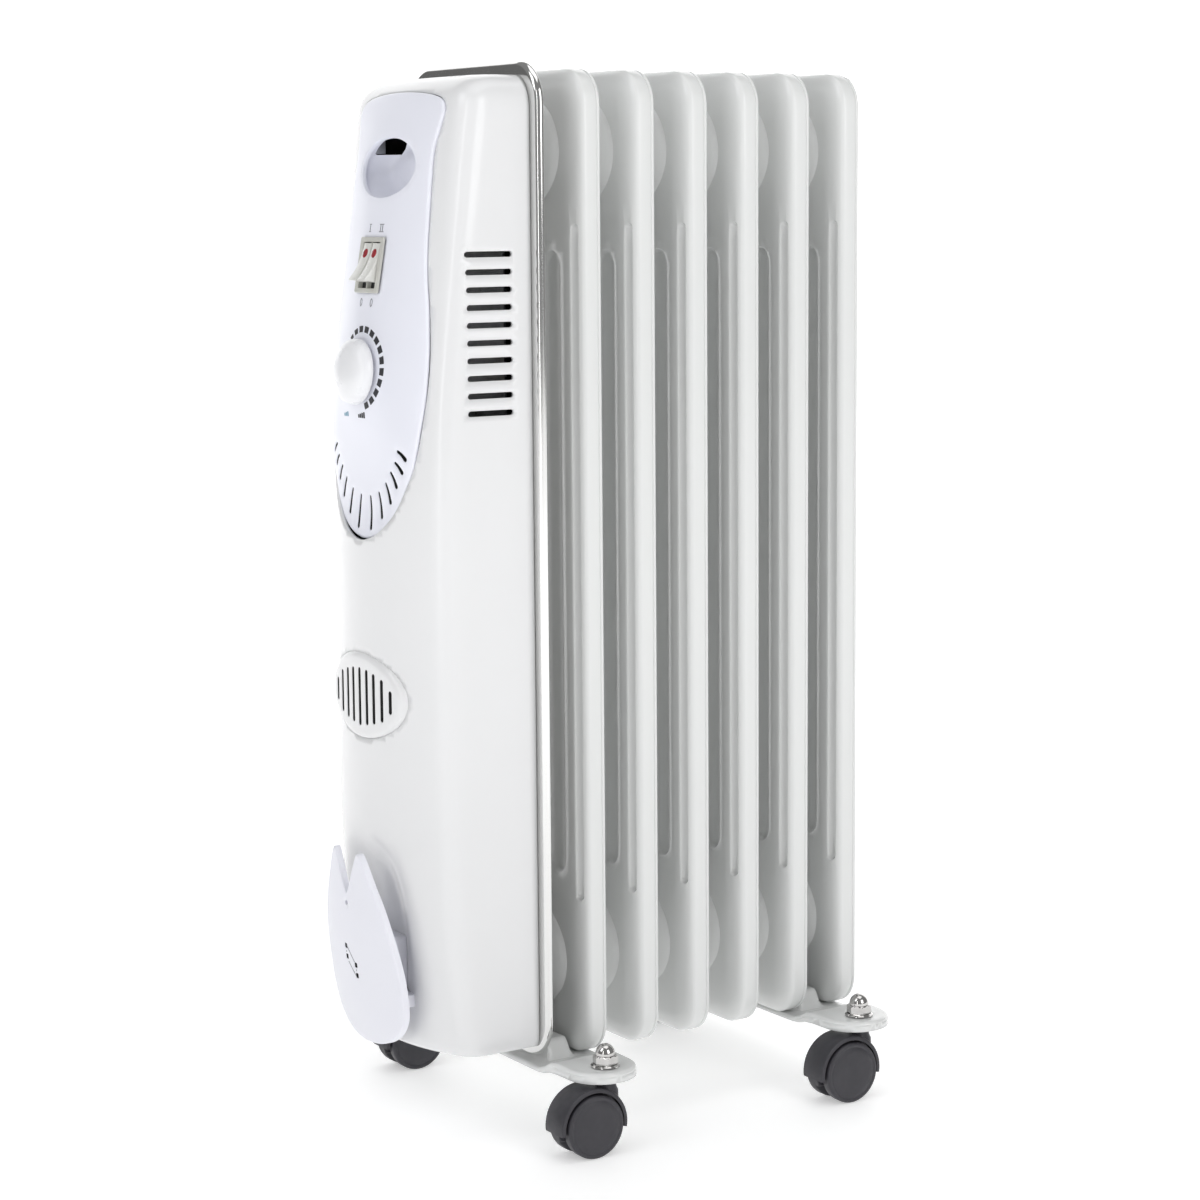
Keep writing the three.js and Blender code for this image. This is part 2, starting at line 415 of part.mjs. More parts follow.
// bushing where the supply cord enters
add('cord_bushing', M([ellipseXZ(8.5, 8.5, REC_FLOOR - 6, 78, 12, -28), ellipseXZ(8.5, 8.5, REC_FLOOR - GAP, 78, 12, -28)])
  .add(cyl('y', 6, REC_FLOOR - 2, REC_FLOOR + 7, -28, 78, 12)).subtract(cyl('y', 3.6, REC_FLOOR - 9, REC_FLOOR + 9, -28, 78, 12)), blackPlastic);

// ---------------------------------------------------------------- heating element and the fittings behind the housing
{
  const r = 4, leg = 7.5, yA = -66, yB = 150, pts = [[-leg, yA, 98], [-leg, yB, 98]];
  for (let i = 1; i < 6; i++) { const t = Math.PI * i / 6; pts.push([-leg * Math.cos(t), yB + leg * Math.sin(t), 98]); }
  pts.push([leg, yB, 98], [leg, yA, 98]);
  add('heating_element', bentBar(pts, r, 8, [0, 0, 1]), steel);
  let f = cyl('y', 24, PLATE_Y0 - 4.3, PLATE_Y0 - GAP, 0, 98, 16).add(cyl('y', 15, PLATE_Y0 - 10, PLATE_Y0 - 2, 0, 98, 6)).add(cyl('y', 13.6, PLATE_Y0 - 1, PLATE_Y0 + 14, 0, 98, 16));
  for (const sx of [-1, 1]) f = f.subtract(cyl('y', r + 0.7, PLATE_Y0 - 12, PLATE_Y0 + 20, sx * leg, 98, 12));
  add('element_flange', f, brass);
}
add('heat_shield', box(-50, 50, -53, -51.8, 150, 560).subtract(box(-20, 20, -60, -40, 300, 420)), steel);
add('thermal_cutout', box(-12, 12, -51.3, -44.6, 200, 220).add(cyl('y', 7, -51.5, -46, 0, 210, 12)), blackPlastic);
{
  let s = box(-26, 26, -76, -58, 205, 223);
  for (let i = 0; i < 3; i++) s = s.subtract(cyl('y', 3, -78, -66, -16 + i * 16, 214, 8));
  s = s.subtract(box(-3, 3, -60, -57, 200, 230));
  add('terminal_block', s, lightGrey);
}

// ---------------------------------------------------------------- foot plates, U-bolts, wing nuts
const RIDGE_Y = -1.9, RIDGE_HALF = 9.3;
function footPlate(cy) {
  const outline = (inset, z) => {
    const h = FOOT_HALF - inset, r = FOOT_END_R - inset, xe = FOOT_END_X;
    const pts = [];
    for (let i = 0; i <= 5; i++) { const t = rad(-90 + 180 * i / 5); pts.push(V(xe + r * Math.cos(t), cy + r * Math.sin(t), z)); }
    pts.push(V(60, cy + h, z), V(-60, cy + h, z));
    for (let i = 0; i <= 5; i++) { const t = rad(90 + 180 * i / 5); pts.push(V(-xe + r * Math.cos(t), cy + r * Math.sin(t), z)); }
    pts.push(V(-60, cy - h, z), V(60, cy - h, z));
    return pts;
  };
  const yc = cy + RIDGE_Y;
  const ridge = (inset) => M([
    rectXY(-70 + inset, 70 - inset, yc - RIDGE_HALF + inset, yc + RIDGE_HALF - inset, inset ? 40 : 43),
    rectXY(-70 + inset, 70 - inset, yc - RIDGE_HALF + inset, yc + RIDGE_HALF - inset, FOOT_LOW + (inset ? 0 : 0)),
    rectXY(-60 + inset, 60 - inset, yc - RIDGE_HALF + 1.2 + inset, yc + RIDGE_HALF - 1.2 - inset, FOOT_RIDGE - inset)]);
  const pad = (sx, inset) => M([ellipseXY(FOOT_END_R - inset, FOOT_END_R - inset, inset ? 39 : 43, sx * FOOT_END_X, cy, 16),
    ellipseXY(FOOT_END_R - inset, FOOT_END_R - inset, FOOT_PAD - 2 - (inset ? 0.6 : 0), sx * FOOT_END_X, cy, 16),
    ellipseXY(FOOT_END_R - 2.4 - inset, FOOT_END_R - 2.4 - inset, FOOT_PAD - inset, sx * FOOT_END_X, cy, 16)]);
  let outer = M([outline(0, FOOT_SKIRT), outline(0, FOOT_LOW)]).add(ridge(0)).add(pad(1, 0)).add(pad(-1, 0));
  let inner = M([outline(SHEET, FOOT_SKIRT - 3), outline(SHEET, FOOT_LOW - SHEET)]).add(ridge(SHEET)).add(pad(1, SHEET)).add(pad(-1, SHEET));
  let s = outer.subtract(inner);
  for (const sx of [-1, 1]) {
    s = s.subtract(cyl('z', 3.4, 30, 70, sx * STEM_X, cy, 10));
    s = s.subtract(cyl('z', 3.6, 30, 70, sx * 37.5, yc, 10));
    // the rim is cut away a little under the round ends
    s = s.subtract(box(sx > 0 ? 80 : -130, sx > 0 ? 130 : -80, cy - 40, cy + 40, 30, 43.9));
  }
  return s;
}
['front', 'rear'].forEach((where, i) => {
  const cy = STEM_Y[i], yc = cy + RIDGE_Y;
  add(`foot_plate_${where}`, footPlate(cy), whiteEnamel);
  // the bolt goes over the welded collector between two fins and down through the plate
  const R = 37.5, pts = [[-R, yc, 41], [-R, yc, BOSS_Z[0]]];
  for (let k = 1; k < 8; k++) { const t = Math.PI * k / 8; pts.push([-R * Math.cos(t), yc, BOSS_Z[0] + R * Math.sin(t)]); }
  pts.push([R, yc, BOSS_Z[0]], [R, yc, 41]);
  add(`u_bolt_${where}`, bentBar(pts, 3, 8, [0, 1, 0]), steel);
  [-1, 1].forEach((sx) => {
    let s = cyl('z', 6, 44.2, 51.6, sx * R, yc, 6);
    s = s.add(box(sx * R - 14, sx * R + 14, yc - 1.2, yc + 1.2, 44.4, 50.4));
    s = s.subtract(cyl('z', 3.4, 30, 70, sx * R, yc, 12));
    add(`wing_nut_${where}_${sx < 0 ? 'left' : 'right'}`, s, steel);
  });
});

// ---------------------------------------------------------------- twin-wheel casters
const HOOD_RO = 22.4, HOOD_RI = 19.6, HOOD_HALF = 9.6;
STEM_Y.forEach((sy, i) => {
  [-1, 1].forEach((sx) => {
    const tag = `${i === 0 ? 'front' : 'rear'}_${sx < 0 ? 'left' : 'right'}`;
    const x = sx * STEM_X, ya = sy - TRAIL, za = WHEEL_R;
    // dome nut
    const dome = lathe([[0, FOOT_PAD + GAP + 13.4], [3.2, FOOT_PAD + GAP + 12.6], [5.4, FOOT_PAD + GAP + 10.4], [6.1, FOOT_PAD + GAP + 7.4], [6.1, FOOT_PAD + GAP + 4], [0, FOOT_PAD + GAP + 4]].reverse(), 12);
    dome.rotateX(Math.PI / 2);
    dome.translate(x, sy, 0);
    let n = toManifold(dome).add(cyl('z', 7.5, FOOT_PAD + GAP, FOOT_PAD + GAP + 6, x, sy, 6)).add(cyl('z', 8.6, FOOT_PAD + GAP, FOOT_PAD + GAP + 1.3, x, sy, 16));
    n = n.subtract(cyl('z', 3.4, FOOT_PAD - 3, FOOT_PAD + GAP + 9.3, x, sy, 10));
    add(`dome_nut_${tag}`, n, chrome);
    // stem: threaded end up through the plate, plain pintle down in the hood
    add(`caster_stem_${tag}`, cyl('z', 3, 28.6, FOOT_PAD + 9, x, sy, 10).add(cyl('z', 5.4, 44.4, 48, x, sy, 10)), steel);
    // hood: half barrel over both wheels, web down the middle, neck around the stem
    const arc = (r, a0, a1, nseg) => Array.from({ length: nseg + 1 }, (_, k) => { const t = rad(a0 + (a1 - a0) * k / nseg); return [ya + r * Math.cos(t), za + r * Math.sin(t)]; });
    const shellPts = [...arc(HOOD_RO, -9, 187, 9), ...arc(HOOD_RI + 0.2, 187, -9, 9)];
    const shape = new THREE.Shape(shellPts.map(([y, z]) => new THREE.Vector2(y, z)));
    const ex = new THREE.ExtrudeGeometry(shape, { depth: 2 * HOOD_HALF, bevelEnabled: false });
    // shape X -> Y, shape Y -> Z, depth -> X
    ex.applyMatrix4(new THREE.Matrix4().set(0, 0, 1, x - HOOD_HALF, 1, 0, 0, 0, 0, 1, 0, 0, 0, 0, 0, 1));
    let h = toManifold(ex);
    h = h.add(cyl('x', HOOD_RI + 1.2, x - 3.4, x + 3.4, ya, za, 12).intersect(box(x - 5, x + 5, ya - 30, ya + 30, za - 7, 60)));
    h = h.add(cyl('z', 5.6, za + 8, 44.1, x, sy, 12));
    // the wheels' space stays free under the neck block
    for (const sw of [-1, 1]) h = h.subtract(cyl('x', HOOD_RI, sw > 0 ? x + 3.4 : x - 14, sw > 0 ? x + 14 : x - 3.4, ya, za, 18));
    h = h.subtract(cyl('z', 3.3, 28, 60, x, sy, 10));
    h = h.subtract(cyl('x', 2.8, x - 20, x + 20, ya, za, 10));
    add(`caster_hood_${tag}`, h, charcoal);
    add(`caster_axle_${tag}`, cyl('x', 2.5, x - CASTER_W / 2 + 1.7, x + CASTER_W / 2 - 1.7, ya, za, 10), steel);
    for (const sw of [-1, 1]) {
      // profile [radius, distance outwards from the middle of the caster]
      const o = CASTER_W / 2, w = WHEEL_W;
      const R = WHEEL_R / Math.cos(Math.PI / 20), prof = [[2.8, o - w], [R, o - w], [R, o - 1.6], [R - 1.8, o], [0, o], [0, o - 1.4], [2.8, o - 1.4]];
      const wg = lathe([...prof, prof[0]], 20);
      wg.rotateY(Math.PI / 20);          // a flat of the tread faces the floor
      wg.rotateZ(-Math.PI / 2);          // lathe axis Y becomes +X
      if (sw < 0) wg.rotateY(Math.PI);
      wg.translate(x, ya, za);
      add(`caster_wheel_${tag}_${sw < 0 ? 'l' : 'r'}`, toManifold(wg), charcoal);
    }
  });
});

export default heater;
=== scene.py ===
# Oil filled radiator heater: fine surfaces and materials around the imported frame.
# Lengths below are millimetres in the construction frame (rear rim of the first fin at y = 0); P() carries them to metres.
import bpy, bmesh, math
import numpy as np
from mathutils import Vector, Matrix
from mathutils.geometry import delaunay_2d_cdt


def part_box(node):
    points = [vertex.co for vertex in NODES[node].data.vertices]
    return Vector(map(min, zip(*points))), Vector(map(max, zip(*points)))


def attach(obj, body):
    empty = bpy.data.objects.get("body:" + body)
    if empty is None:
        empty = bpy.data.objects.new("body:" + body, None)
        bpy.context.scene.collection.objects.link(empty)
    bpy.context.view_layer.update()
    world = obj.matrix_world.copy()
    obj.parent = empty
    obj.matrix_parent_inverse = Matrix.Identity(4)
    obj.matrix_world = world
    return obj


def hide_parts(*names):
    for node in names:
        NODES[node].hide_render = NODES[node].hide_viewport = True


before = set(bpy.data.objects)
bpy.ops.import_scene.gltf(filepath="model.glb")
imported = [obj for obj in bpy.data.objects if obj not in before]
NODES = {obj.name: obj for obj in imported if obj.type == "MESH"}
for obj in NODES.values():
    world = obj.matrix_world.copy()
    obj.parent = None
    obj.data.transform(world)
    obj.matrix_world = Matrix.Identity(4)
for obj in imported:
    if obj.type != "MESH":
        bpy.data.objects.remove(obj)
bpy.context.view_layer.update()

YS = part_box("fin_6")[1].y * 1000 - 185.0
rad = math.radians


# ---------------------------------------------------------------- small maths
def pchip(tab):
    xs = np.array([t[0] for t in tab], float); ys = np.array([t[1] for t in tab], float)
    h = np.diff(xs); d = np.diff(ys) / h
    m = np.zeros_like(ys)
    with np.errstate(divide='ignore', invalid='ignore'):
        m[1:-1] = np.where(d[:-1] * d[1:] > 0, 2 * d[:-1] * d[1:] / (d[:-1] + d[1:]), 0)
    m = np.nan_to_num(m); m[0], m[-1] = d[0], d[-1]
    def f(z):
        z = np.clip(np.asarray(z, float), xs[0], xs[-1])
        i = np.clip(np.searchsorted(xs, z, side='right') - 1, 0, len(h) - 1)
        t = (z - xs[i]) / h[i]
        return ((2 * t**3 - 3 * t**2 + 1) * ys[i] + (t**3 - 2 * t**2 + t) * h[i] * m[i]
                + (-2 * t**3 + 3 * t**2) * ys[i + 1] + (t**3 - t**2) * h[i] * m[i + 1])
    return f

def smooth_tab(tab, sigma):
    f = pchip(tab)
    z0, z1 = tab[0][0], tab[-1][0]
    zz = np.arange(z0 - 4 * sigma, z1 + 4 * sigma, 1.0)
    s0 = (f(z0 + 4) - f(z0)) / 4; s1 = (f(z1) - f(z1 - 4)) / 4
    y = np.where(zz < z0, f(z0) + (zz - z0) * s0, np.where(zz > z1, f(z1) + (zz - z1) * s1, f(zz)))
    k = np.exp(-0.5 * (np.arange(-3 * sigma, 3 * sigma + 1) / sigma) ** 2); k /= k.sum()
    pad = len(k) // 2
    ys = np.convolve(y, k, mode='same')
    return lambda z: np.interp(z, zz[pad:-pad], ys[pad:-pad])

def sstep(t):
    t = np.clip(t, 0, 1)
    return t * t * (3 - 2 * t)

def inside(P, poly):
    P = np.asarray(P, float); A = np.asarray(poly, float); B = np.roll(A, -1, 0)
    out = np.zeros(len(P), bool)
    for (x0, y0), (x1, y1) in zip(A, B):
        if y0 == y1: continue
        c = (y0 > P[:, 1]) != (y1 > P[:, 1])
        xi = x0 + (P[:, 1] - y0) * (x1 - x0) / (y1 - y0)
        out ^= c & (P[:, 0] < xi)
    return out

def dist(P, poly, closed=True):
    P = np.asarray(P, float); A = np.asarray(poly, float); B = np.roll(A, -1, 0)
    if not closed: A, B = A[:-1], B[:-1]
    d = np.full(len(P), 1e9)
    for a, b in zip(A, B):
        e = b - a; L = e @ e
        if L < 1e-12: continue
        t = np.clip((P - a) @ e / L, 0, 1)
        d = np.minimum(d, np.hypot(*(P - a - t[:, None] * e).T))
    return d

def area2(P):
    x, y = np.asarray(P, float).T
    return float(np.sum(x * np.roll(y, -1) - y * np.roll(x, -1)))

def ccw(P):
    P = np.asarray(P, float)
    return P if area2(P) > 0 else P[::-1]

def offset(P, d):
    """closed outline moved inwards by d"""
    P = ccw(P)
    e = np.roll(P, -1, 0) - P; e /= np.maximum(1e-9, np.hypot(*e.T))[:, None]
    n = np.stack([-e[:, 1], e[:, 0]], 1)
    m = n + np.roll(n, 1, 0)
    m /= np.maximum(0.5, (m * m).sum(1) / 2)[:, None]
    return P + m * d

def resample(P, step):
    P = np.asarray(P, float); Q = np.vstack([P, P[:1]])
    L = np.concatenate([[0], np.cumsum(np.hypot(*np.diff(Q, axis=0).T))])
    n = max(8, int(round(L[-1] / step)))
    t = np.linspace(0, L[-1], n + 1)[:-1]
    return np.stack([np.interp(t, L, Q[:, 0]), np.interp(t, L, Q[:, 1])], 1)

def spline(P, step, closed=True, sharp=()):
    """Catmull-Rom through the points; sharp lists the indices of points that stay corners"""
    P = np.asarray(P, float); n = len(P); out = []
    m = n if closed else n - 1
    for i in range(m):
        p1, p2 = P[i], P[(i + 1) % n]
        p0 = P[i - 1] if (closed or i > 0) and i not in sharp else p1 - (p2 - p1)
        p3 = P[(i + 2) % n] if (closed or i + 2 < n) and (i + 1) % n not in sharp else p2 + (p2 - p1)
        k = max(1, int(math.ceil(np.hypot(*(p2 - p1)) / step)))
        d1, d2 = np.hypot(*(p1 - p0)), np.hypot(*(p3 - p2)); L = np.hypot(*(p2 - p1))
        m1 = ((p2 - p1) / L * d1 + (p1 - p0) / d1 * L) / (L + d1) * L
        m2 = ((p2 - p1) / L * d2 + (p3 - p2) / d2 * L) / (L + d2) * L
        for j in range(k):
            t = j / k
            out.append((2*t**3 - 3*t**2 + 1) * p1 + (t**3 - 2*t**2 + t) * m1 + (-2*t**3 + 3*t**2) * p2 + (t**3 - t**2) * m2)
    if not closed: out.append(P[-1])
    return np.array(out)

def ellipse(a, b, cx=0, cz=0, n=96):
    t = np.linspace(0, 2 * math.pi, n + 1)[:-1]
    return np.stack([cx + a * np.cos(t), cz + b * np.sin(t)], 1)

def rrect(x0, x1, z0, z1, r, seg=6, step=None):
    out = []
    for cx, cz, a0 in ((x1 - r, z1 - r, 0), (x0 + r, z1 - r, 90), (x0 + r, z0 + r, 180), (x1 - r, z0 + r, 270)):
        for i in range(seg + 1):
            a = rad(a0 + 90 * i / seg)
            out.append((cx + r * math.cos(a), cz + r * math.sin(a)))
    out = np.array(out)
    if step:
        res = []
        for p, q in zip(out, np.roll(out, -1, 0)):
            k = max(1, int(np.hypot(*(q - p)) / step))
            res += [p + (q - p) * j / k for j in range(k)]
        out = np.array(res)
    return out

def capsule(cx, z0, z1, w, seg=6):
    r = w / 2
    t = np.radians(np.linspace(0, 180, seg + 1))
    return np.array([(cx + r * math.cos(a), z1 - r + r * math.sin(a)) for a in t] + [(cx - r * math.cos(a), z0 + r - r * math.sin(a)) for a in t])

def ribbon(pts, w0, w1, seg=4):
    """closed outline of a stroke along pts, w0 wide at the start and w1 at the end, round ended"""
    p = np.asarray(pts, float)
    t = np.gradient(p, axis=0); t /= np.hypot(*t.T)[:, None]
    n = np.stack([-t[:, 1], t[:, 0]], 1)
    w = np.linspace(w0, w1, len(p))[:, None] / 2
    L, R = p + n * w, p - n * w
    def cap(c, d, r):
        a0 = math.atan2(d[1], d[0])
        return [(c[0] + r * math.cos(a0 + a), c[1] + r * math.sin(a0 + a)) for a in np.linspace(-math.pi / 2, math.pi / 2, seg + 2)[1:-1]]
    return np.array(list(R) + cap(p[-1], t[-1], w1 / 2) + list(L[::-1]) + cap(p[0], -t[0], w0 / 2))


# ---------------------------------------------------------------- meshes
class B:
    """gathers vertices and faces of one piece"""
    def __init__(s): s.v = []; s.f = []; s.m = []
    def add(s, v, f, m=0):
        o = len(s.v)
        s.v += [tuple(map(float, p)) for p in v]
        s.f += [tuple(int(i) + o for i in g) for g in f]
        s.m += [m] * len(f)
        return s

def P(v):
    a = np.array(v, float).reshape(-1, 3).copy()
    a[:, 1] += YS
    return a * 0.001

def piece(name, b, mats, body, replaces=(), angle=38, solid=None, solid_mat=0, weld=True, bevel=None):
    me = bpy.data.meshes.new(name)
    me.from_pydata(P(b.v).tolist(), [], b.f)
    for m in (mats if isinstance(mats, (list, tuple)) else [mats]): me.materials.append(m)
    for p, k in zip(me.polygons, b.m): p.material_index = k
    bm = bmesh.new(); bm.from_mesh(me)
    if weld: bmesh.ops.remove_doubles(bm, verts=bm.verts, dist=2e-6)
    bmesh.ops.dissolve_degenerate(bm, dist=1e-7, edges=bm.edges)
    if solid is None: bmesh.ops.recalc_face_normals(bm, faces=bm.faces)
    bm.to_mesh(me); bm.free()
    me.update()
    me.shade_smooth()
    me.set_sharp_from_angle(angle=rad(angle))
    ob = bpy.data.objects.new(name, me)
    bpy.context.scene.collection.objects.link(ob)
    if solid:
        s = ob.modifiers.new("wall", 'SOLIDIFY')
        s.thickness = solid / 1000; s.offset = -1; s.use_even_offset = False
        s.material_offset = solid_mat
    if bevel:
        w = ob.modifiers.new("edge", 'BEVEL')
        w.width = bevel / 1000; w.segments = 3; w.limit_method = 'ANGLE'; w.angle_limit = rad(40); w.harden_normals = False
    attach(ob, body)
    if replaces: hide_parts(*replaces)
    return ob

def triangulate(outer, holes, rings, pts):
    """constrained triangles inside outer and outside the holes; returns 2-D points and faces turning counter-clockwise"""
    V, E = [], []
    def loop(L):
        o = len(V)
        V.extend(Vector((float(a), float(b))) for a, b in L)
        E.extend((o + i, o + (i + 1) % len(L)) for i in range(len(L)))
    loop(outer)
    for h in holes: loop(h)
    for r in rings: loop(r)
    V.extend(Vector((float(a), float(b))) for a, b in pts)
    v, e, f, *_ = delaunay_2d_cdt(V, E, [], 0, 1e-5)
    v = np.array([(p.x, p.y) for p in v]); f = np.array([list(t) for t in f])
    c = v[f].mean(1)
    keep = inside(c, outer)
    for h in holes: keep &= ~inside(c, h)
    f = f[keep]
    a, b_, d = v[f[:, 0]], v[f[:, 1]], v[f[:, 2]]
    cr = (b_ - a)[:, 0] * (d - a)[:, 1] - (b_ - a)[:, 1] * (d - a)[:, 0]
    f = f[np.abs(cr) > 1e-6]; cr = cr[np.abs(cr) > 1e-6]
    f[cr < 0] = f[cr < 0][:, ::-1]
    return v, f

def grid(outer, holes, step, clear, fine=None, sx=1.0):
    lo, hi = np.min(outer, 0), np.max(outer, 0)
    def g(lo, hi, st):
        X, Z = np.meshgrid(np.arange(lo[0] + st * sx / 2, hi[0], st * sx), np.arange(lo[1] + st / 2, hi[1], st))
        return np.stack([X.ravel(), Z.ravel()], 1)
    Q = g(lo, hi, step)
    if fine:
        (fl, fh, st) = fine
        m = (Q[:, 0] > fl[0]) & (Q[:, 0] < fh[0]) & (Q[:, 1] > fl[1]) & (Q[:, 1] < fh[1])
        Q = np.vstack([Q[~m], g(np.array(fl), np.array(fh), st)])
    Q = Q[inside(Q, outer)]
    Q = Q[dist(Q, outer) > clear]
    for h in holes:
        h = np.asarray(h); l, u = h.min(0) - clear, h.max(0) + clear
        m = (Q > l).all(1) & (Q < u).all(1)
        bad = np.zeros(len(Q), bool)
        if m.any(): bad[m] = inside(Q[m], h) | (dist(Q[m], h) < clear)
        Q = Q[~bad]
    return Q

ROUND = [(1 - math.cos(rad(a)), 1 - math.sin(rad(a))) for a in (0, 20, 42, 65, 90)]     # (distance in, drop) of a unit edge round

def panel(outer, holes, surf, T, r_out=1.0, r_hole=0.5, step=3.0, more=(), normal=None, dark=None):
    """closed sheet over an outline in (u, v): rounded edges, holes through it, wall T behind the face. surf(uv) -> xyz"""
    outer = ccw(outer); holes = [ccw(h) for h in holes]
    rings = [offset(outer, r_out * d) for d, h in ROUND[1:]] if r_out else []
    if r_hole: rings += [offset(h, -r_hole * d) for h in holes for d, _ in (ROUND[1:] if r_hole > 0.6 else ROUND[2::2])]
    rings += list(more)
    pts = grid(outer, holes, step, max(r_out, r_hole) + step * 0.45)
    for m in more: pts = pts[dist(pts, m) > step * 0.3]
    v, f = triangulate(outer, holes, rings, pts)
    def nrm(q):
        e = 0.05
        du = surf(q + [e, 0]) - surf(q - [e, 0]); dv = surf(q + [0, e]) - surf(q - [0, e])
        n = np.cross(du, dv); return n / np.linalg.norm(n, axis=1)[:, None]
    n = nrm(v) if normal is None else np.tile(normal, (len(v), 1))
    base = surf(v)
    def drop(d, r): t = np.clip(1 - d / r, 0, 1); return r * (1 - np.sqrt(np.maximum(0, 1 - t * t)))
    h = drop(dist(v, outer), r_out) if r_out else np.zeros(len(v))
    if r_hole:
        for L in holes:
            l, u = L.min(0) - 2 * r_hole, L.max(0) + 2 * r_hole
            m = (v > l).all(1) & (v < u).all(1)
            h[m] = np.maximum(h[m], drop(dist(v[m], L), r_hole))
    front = base - n * h[:, None]; back = base - n * T
    N = len(v); F = [tuple(t) for t in f] + [tuple(t[::-1] + N) for t in f]
    # walls along every boundary edge
    ed = {}
    for t in f:
        for i in range(3): ed[(t[i], t[(i + 1) % 3])] = 1
    for (a, c) in ed:
        if (c, a) not in ed: F.append((c, a, a + N, c + N))
    b = B().add(np.vstack([front, back]), F)
    # hole walls where dark(uv) holds take material 1, which the pieces give a near-black colour: painted shade inside
    # the slots
    if dark is not None:
        rim = dist(v, outer) < 0.05
        for i in range(2 * len(f), len(F)):
            a = F[i][0]
            if not rim[a] and dark(v[a]): b.m[i] = 1
    return b

def lathe(profile, M, n=48):
    """profile [(radius, height)] turned about the local Z axis, carried by the 4x4 matrix M (mm)"""
    v, f, rows = [], [], []
    for r, h in profile:
        if r < 1e-6:
            rows.append([len(v)]); v.append((0, 0, h))
        else:
            rows.append(list(range(len(v), len(v) + n)))
            v += [(r * math.cos(2 * math.pi * i / n), r * math.sin(2 * math.pi * i / n), h) for i in range(n)]
    for a, b in zip(rows[:-1], rows[1:]):
        for i in range(n):
            j = (i + 1) % n
            if len(a) == 1 and len(b) == 1: continue
            if len(a) == 1: f.append((a[0], b[i], b[j]))
            elif len(b) == 1: f.append((a[i], a[j], b[0]))
            else: f.append((a[i], a[j], b[j], b[i]))
    v = [tuple(M @ Vector(p)) for p in v]
    return v, f

def arc(cx, cy, r, a0, a1, n):
    return [(cx + r * math.cos(rad(a0 + (a1 - a0) * i / n)), cy + r * math.sin(rad(a0 + (a1 - a0) * i / n))) for i in range(n + 1)]

def rbox(x0, x1, y0, y1, z0, z1, r=0.6, seg=2, M=None):
    bm = bmesh.new()
    bmesh.ops.create_cube(bm, size=1.0)
    for v in bm.verts:
        v.co = Vector(((x0 + x1) / 2 + v.co.x * (x1 - x0), (y0 + y1) / 2 + v.co.y * (y1 - y0), (z0 + z1) / 2 + v.co.z * (z1 - z0)))
    if r: bmesh.ops.bevel(bm, geom=list(bm.edges) + list(bm.verts), offset=r, segments=seg, profile=0.5, affect='EDGES', clamp_overlap=True)
    bm.verts.index_update()
    v = [tuple((M @ p.co) if M else p.co) for p in bm.verts]; f = [tuple(q.index for q in g.verts) for g in bm.faces]
    bm.free()
    return v, f

def ringloft(rings, cap0=None, cap1=None):
    n = len(rings[0]); v = [p for r in rings for p in r]; f = []
    for k in range(len(rings) - 1):
        for i in range(n):
            a, b_ = k * n + i, k * n + (i + 1) % n
            f.append((a, b_, b_ + n, a + n))
    if cap0: f.append(tuple(range(n))[::-1])
    if cap1: f.append(tuple(range((len(rings) - 1) * n, len(rings) * n)))
    return v, f

def axis_matrix(origin, direction):
    z = Vector(direction).normalized()
    q = Vector((0, 0, 1)).rotation_difference(z)
    return Matrix.Translation(Vector(origin)) @ q.to_matrix().to_4x4()


# ---------------------------------------------------------------- materials
def material(name, a, b, rough, metal=0.0, coat=0.0, coat_rough=0.05, bump=0.15, grain=1400.0, cloud=22.0, rvar=0.05, spec=0.5, streak=None, dist_mm=0.02):
    """moulded, painted or plated surface: cloudy colour between a and b, uneven gloss, fine grain in the normal"""
    m = bpy.data.materials.new(name); m.use_nodes = True
    N, L = m.node_tree.nodes, m.node_tree.links
    s = N["Principled BSDF"]
    s.inputs["Metallic"].default_value = metal
    s.inputs["Specular IOR Level"].default_value = spec
    s.inputs["Coat Weight"].default_value = coat
    s.inputs["Coat Roughness"].default_value = coat_rough
    tc = N.new("ShaderNodeTexCoord")
    mp = N.new("ShaderNodeMapping"); L.new(tc.outputs["Object"], mp.inputs["Vector"])
    if streak: mp.inputs["Scale"].default_value = streak
    n1 = N.new("ShaderNodeTexNoise"); n1.inputs["Scale"].default_value = cloud; n1.inputs["Detail"].default_value = 5; n1.inputs["Roughness"].default_value = 0.6
    L.new(mp.outputs["Vector"], n1.inputs["Vector"])
    cr = N.new("ShaderNodeValToRGB"); cr.color_ramp.elements[0].position = 0.3; cr.color_ramp.elements[1].position = 0.7
    cr.color_ramp.elements[0].color = (*a, 1); cr.color_ramp.elements[1].color = (*b, 1)
    L.new(n1.outputs["Fac"], cr.inputs["Fac"]); L.new(cr.outputs["Color"], s.inputs["Base Color"])
    n2 = N.new("ShaderNodeTexNoise"); n2.inputs["Scale"].default_value = cloud * 3.7; n2.inputs["Detail"].default_value = 3
    L.new(mp.outputs["Vector"], n2.inputs["Vector"])
    mr = N.new("ShaderNodeMapRange"); mr.inputs["From Min"].default_value = 0.25; mr.inputs["From Max"].default_value = 0.75
    mr.inputs["To Min"].default_value = max(0.02, rough - rvar); mr.inputs["To Max"].default_value = rough + rvar
    L.new(n2.outputs["Fac"], mr.inputs["Value"]); L.new(mr.outputs["Result"], s.inputs["Roughness"])
    n3 = N.new("ShaderNodeTexNoise"); n3.inputs["Scale"].default_value = grain; n3.inputs["Detail"].default_value = 2
    L.new(mp.outputs["Vector"], n3.inputs["Vector"])
    bp = N.new("ShaderNodeBump"); bp.inputs["Strength"].default_value = bump; bp.inputs["Distance"].default_value = dist_mm / 1000
    L.new(n3.outputs["Fac"], bp.inputs["Height"]); L.new(bp.outputs["Normal"], s.inputs["Normal"])
    return m

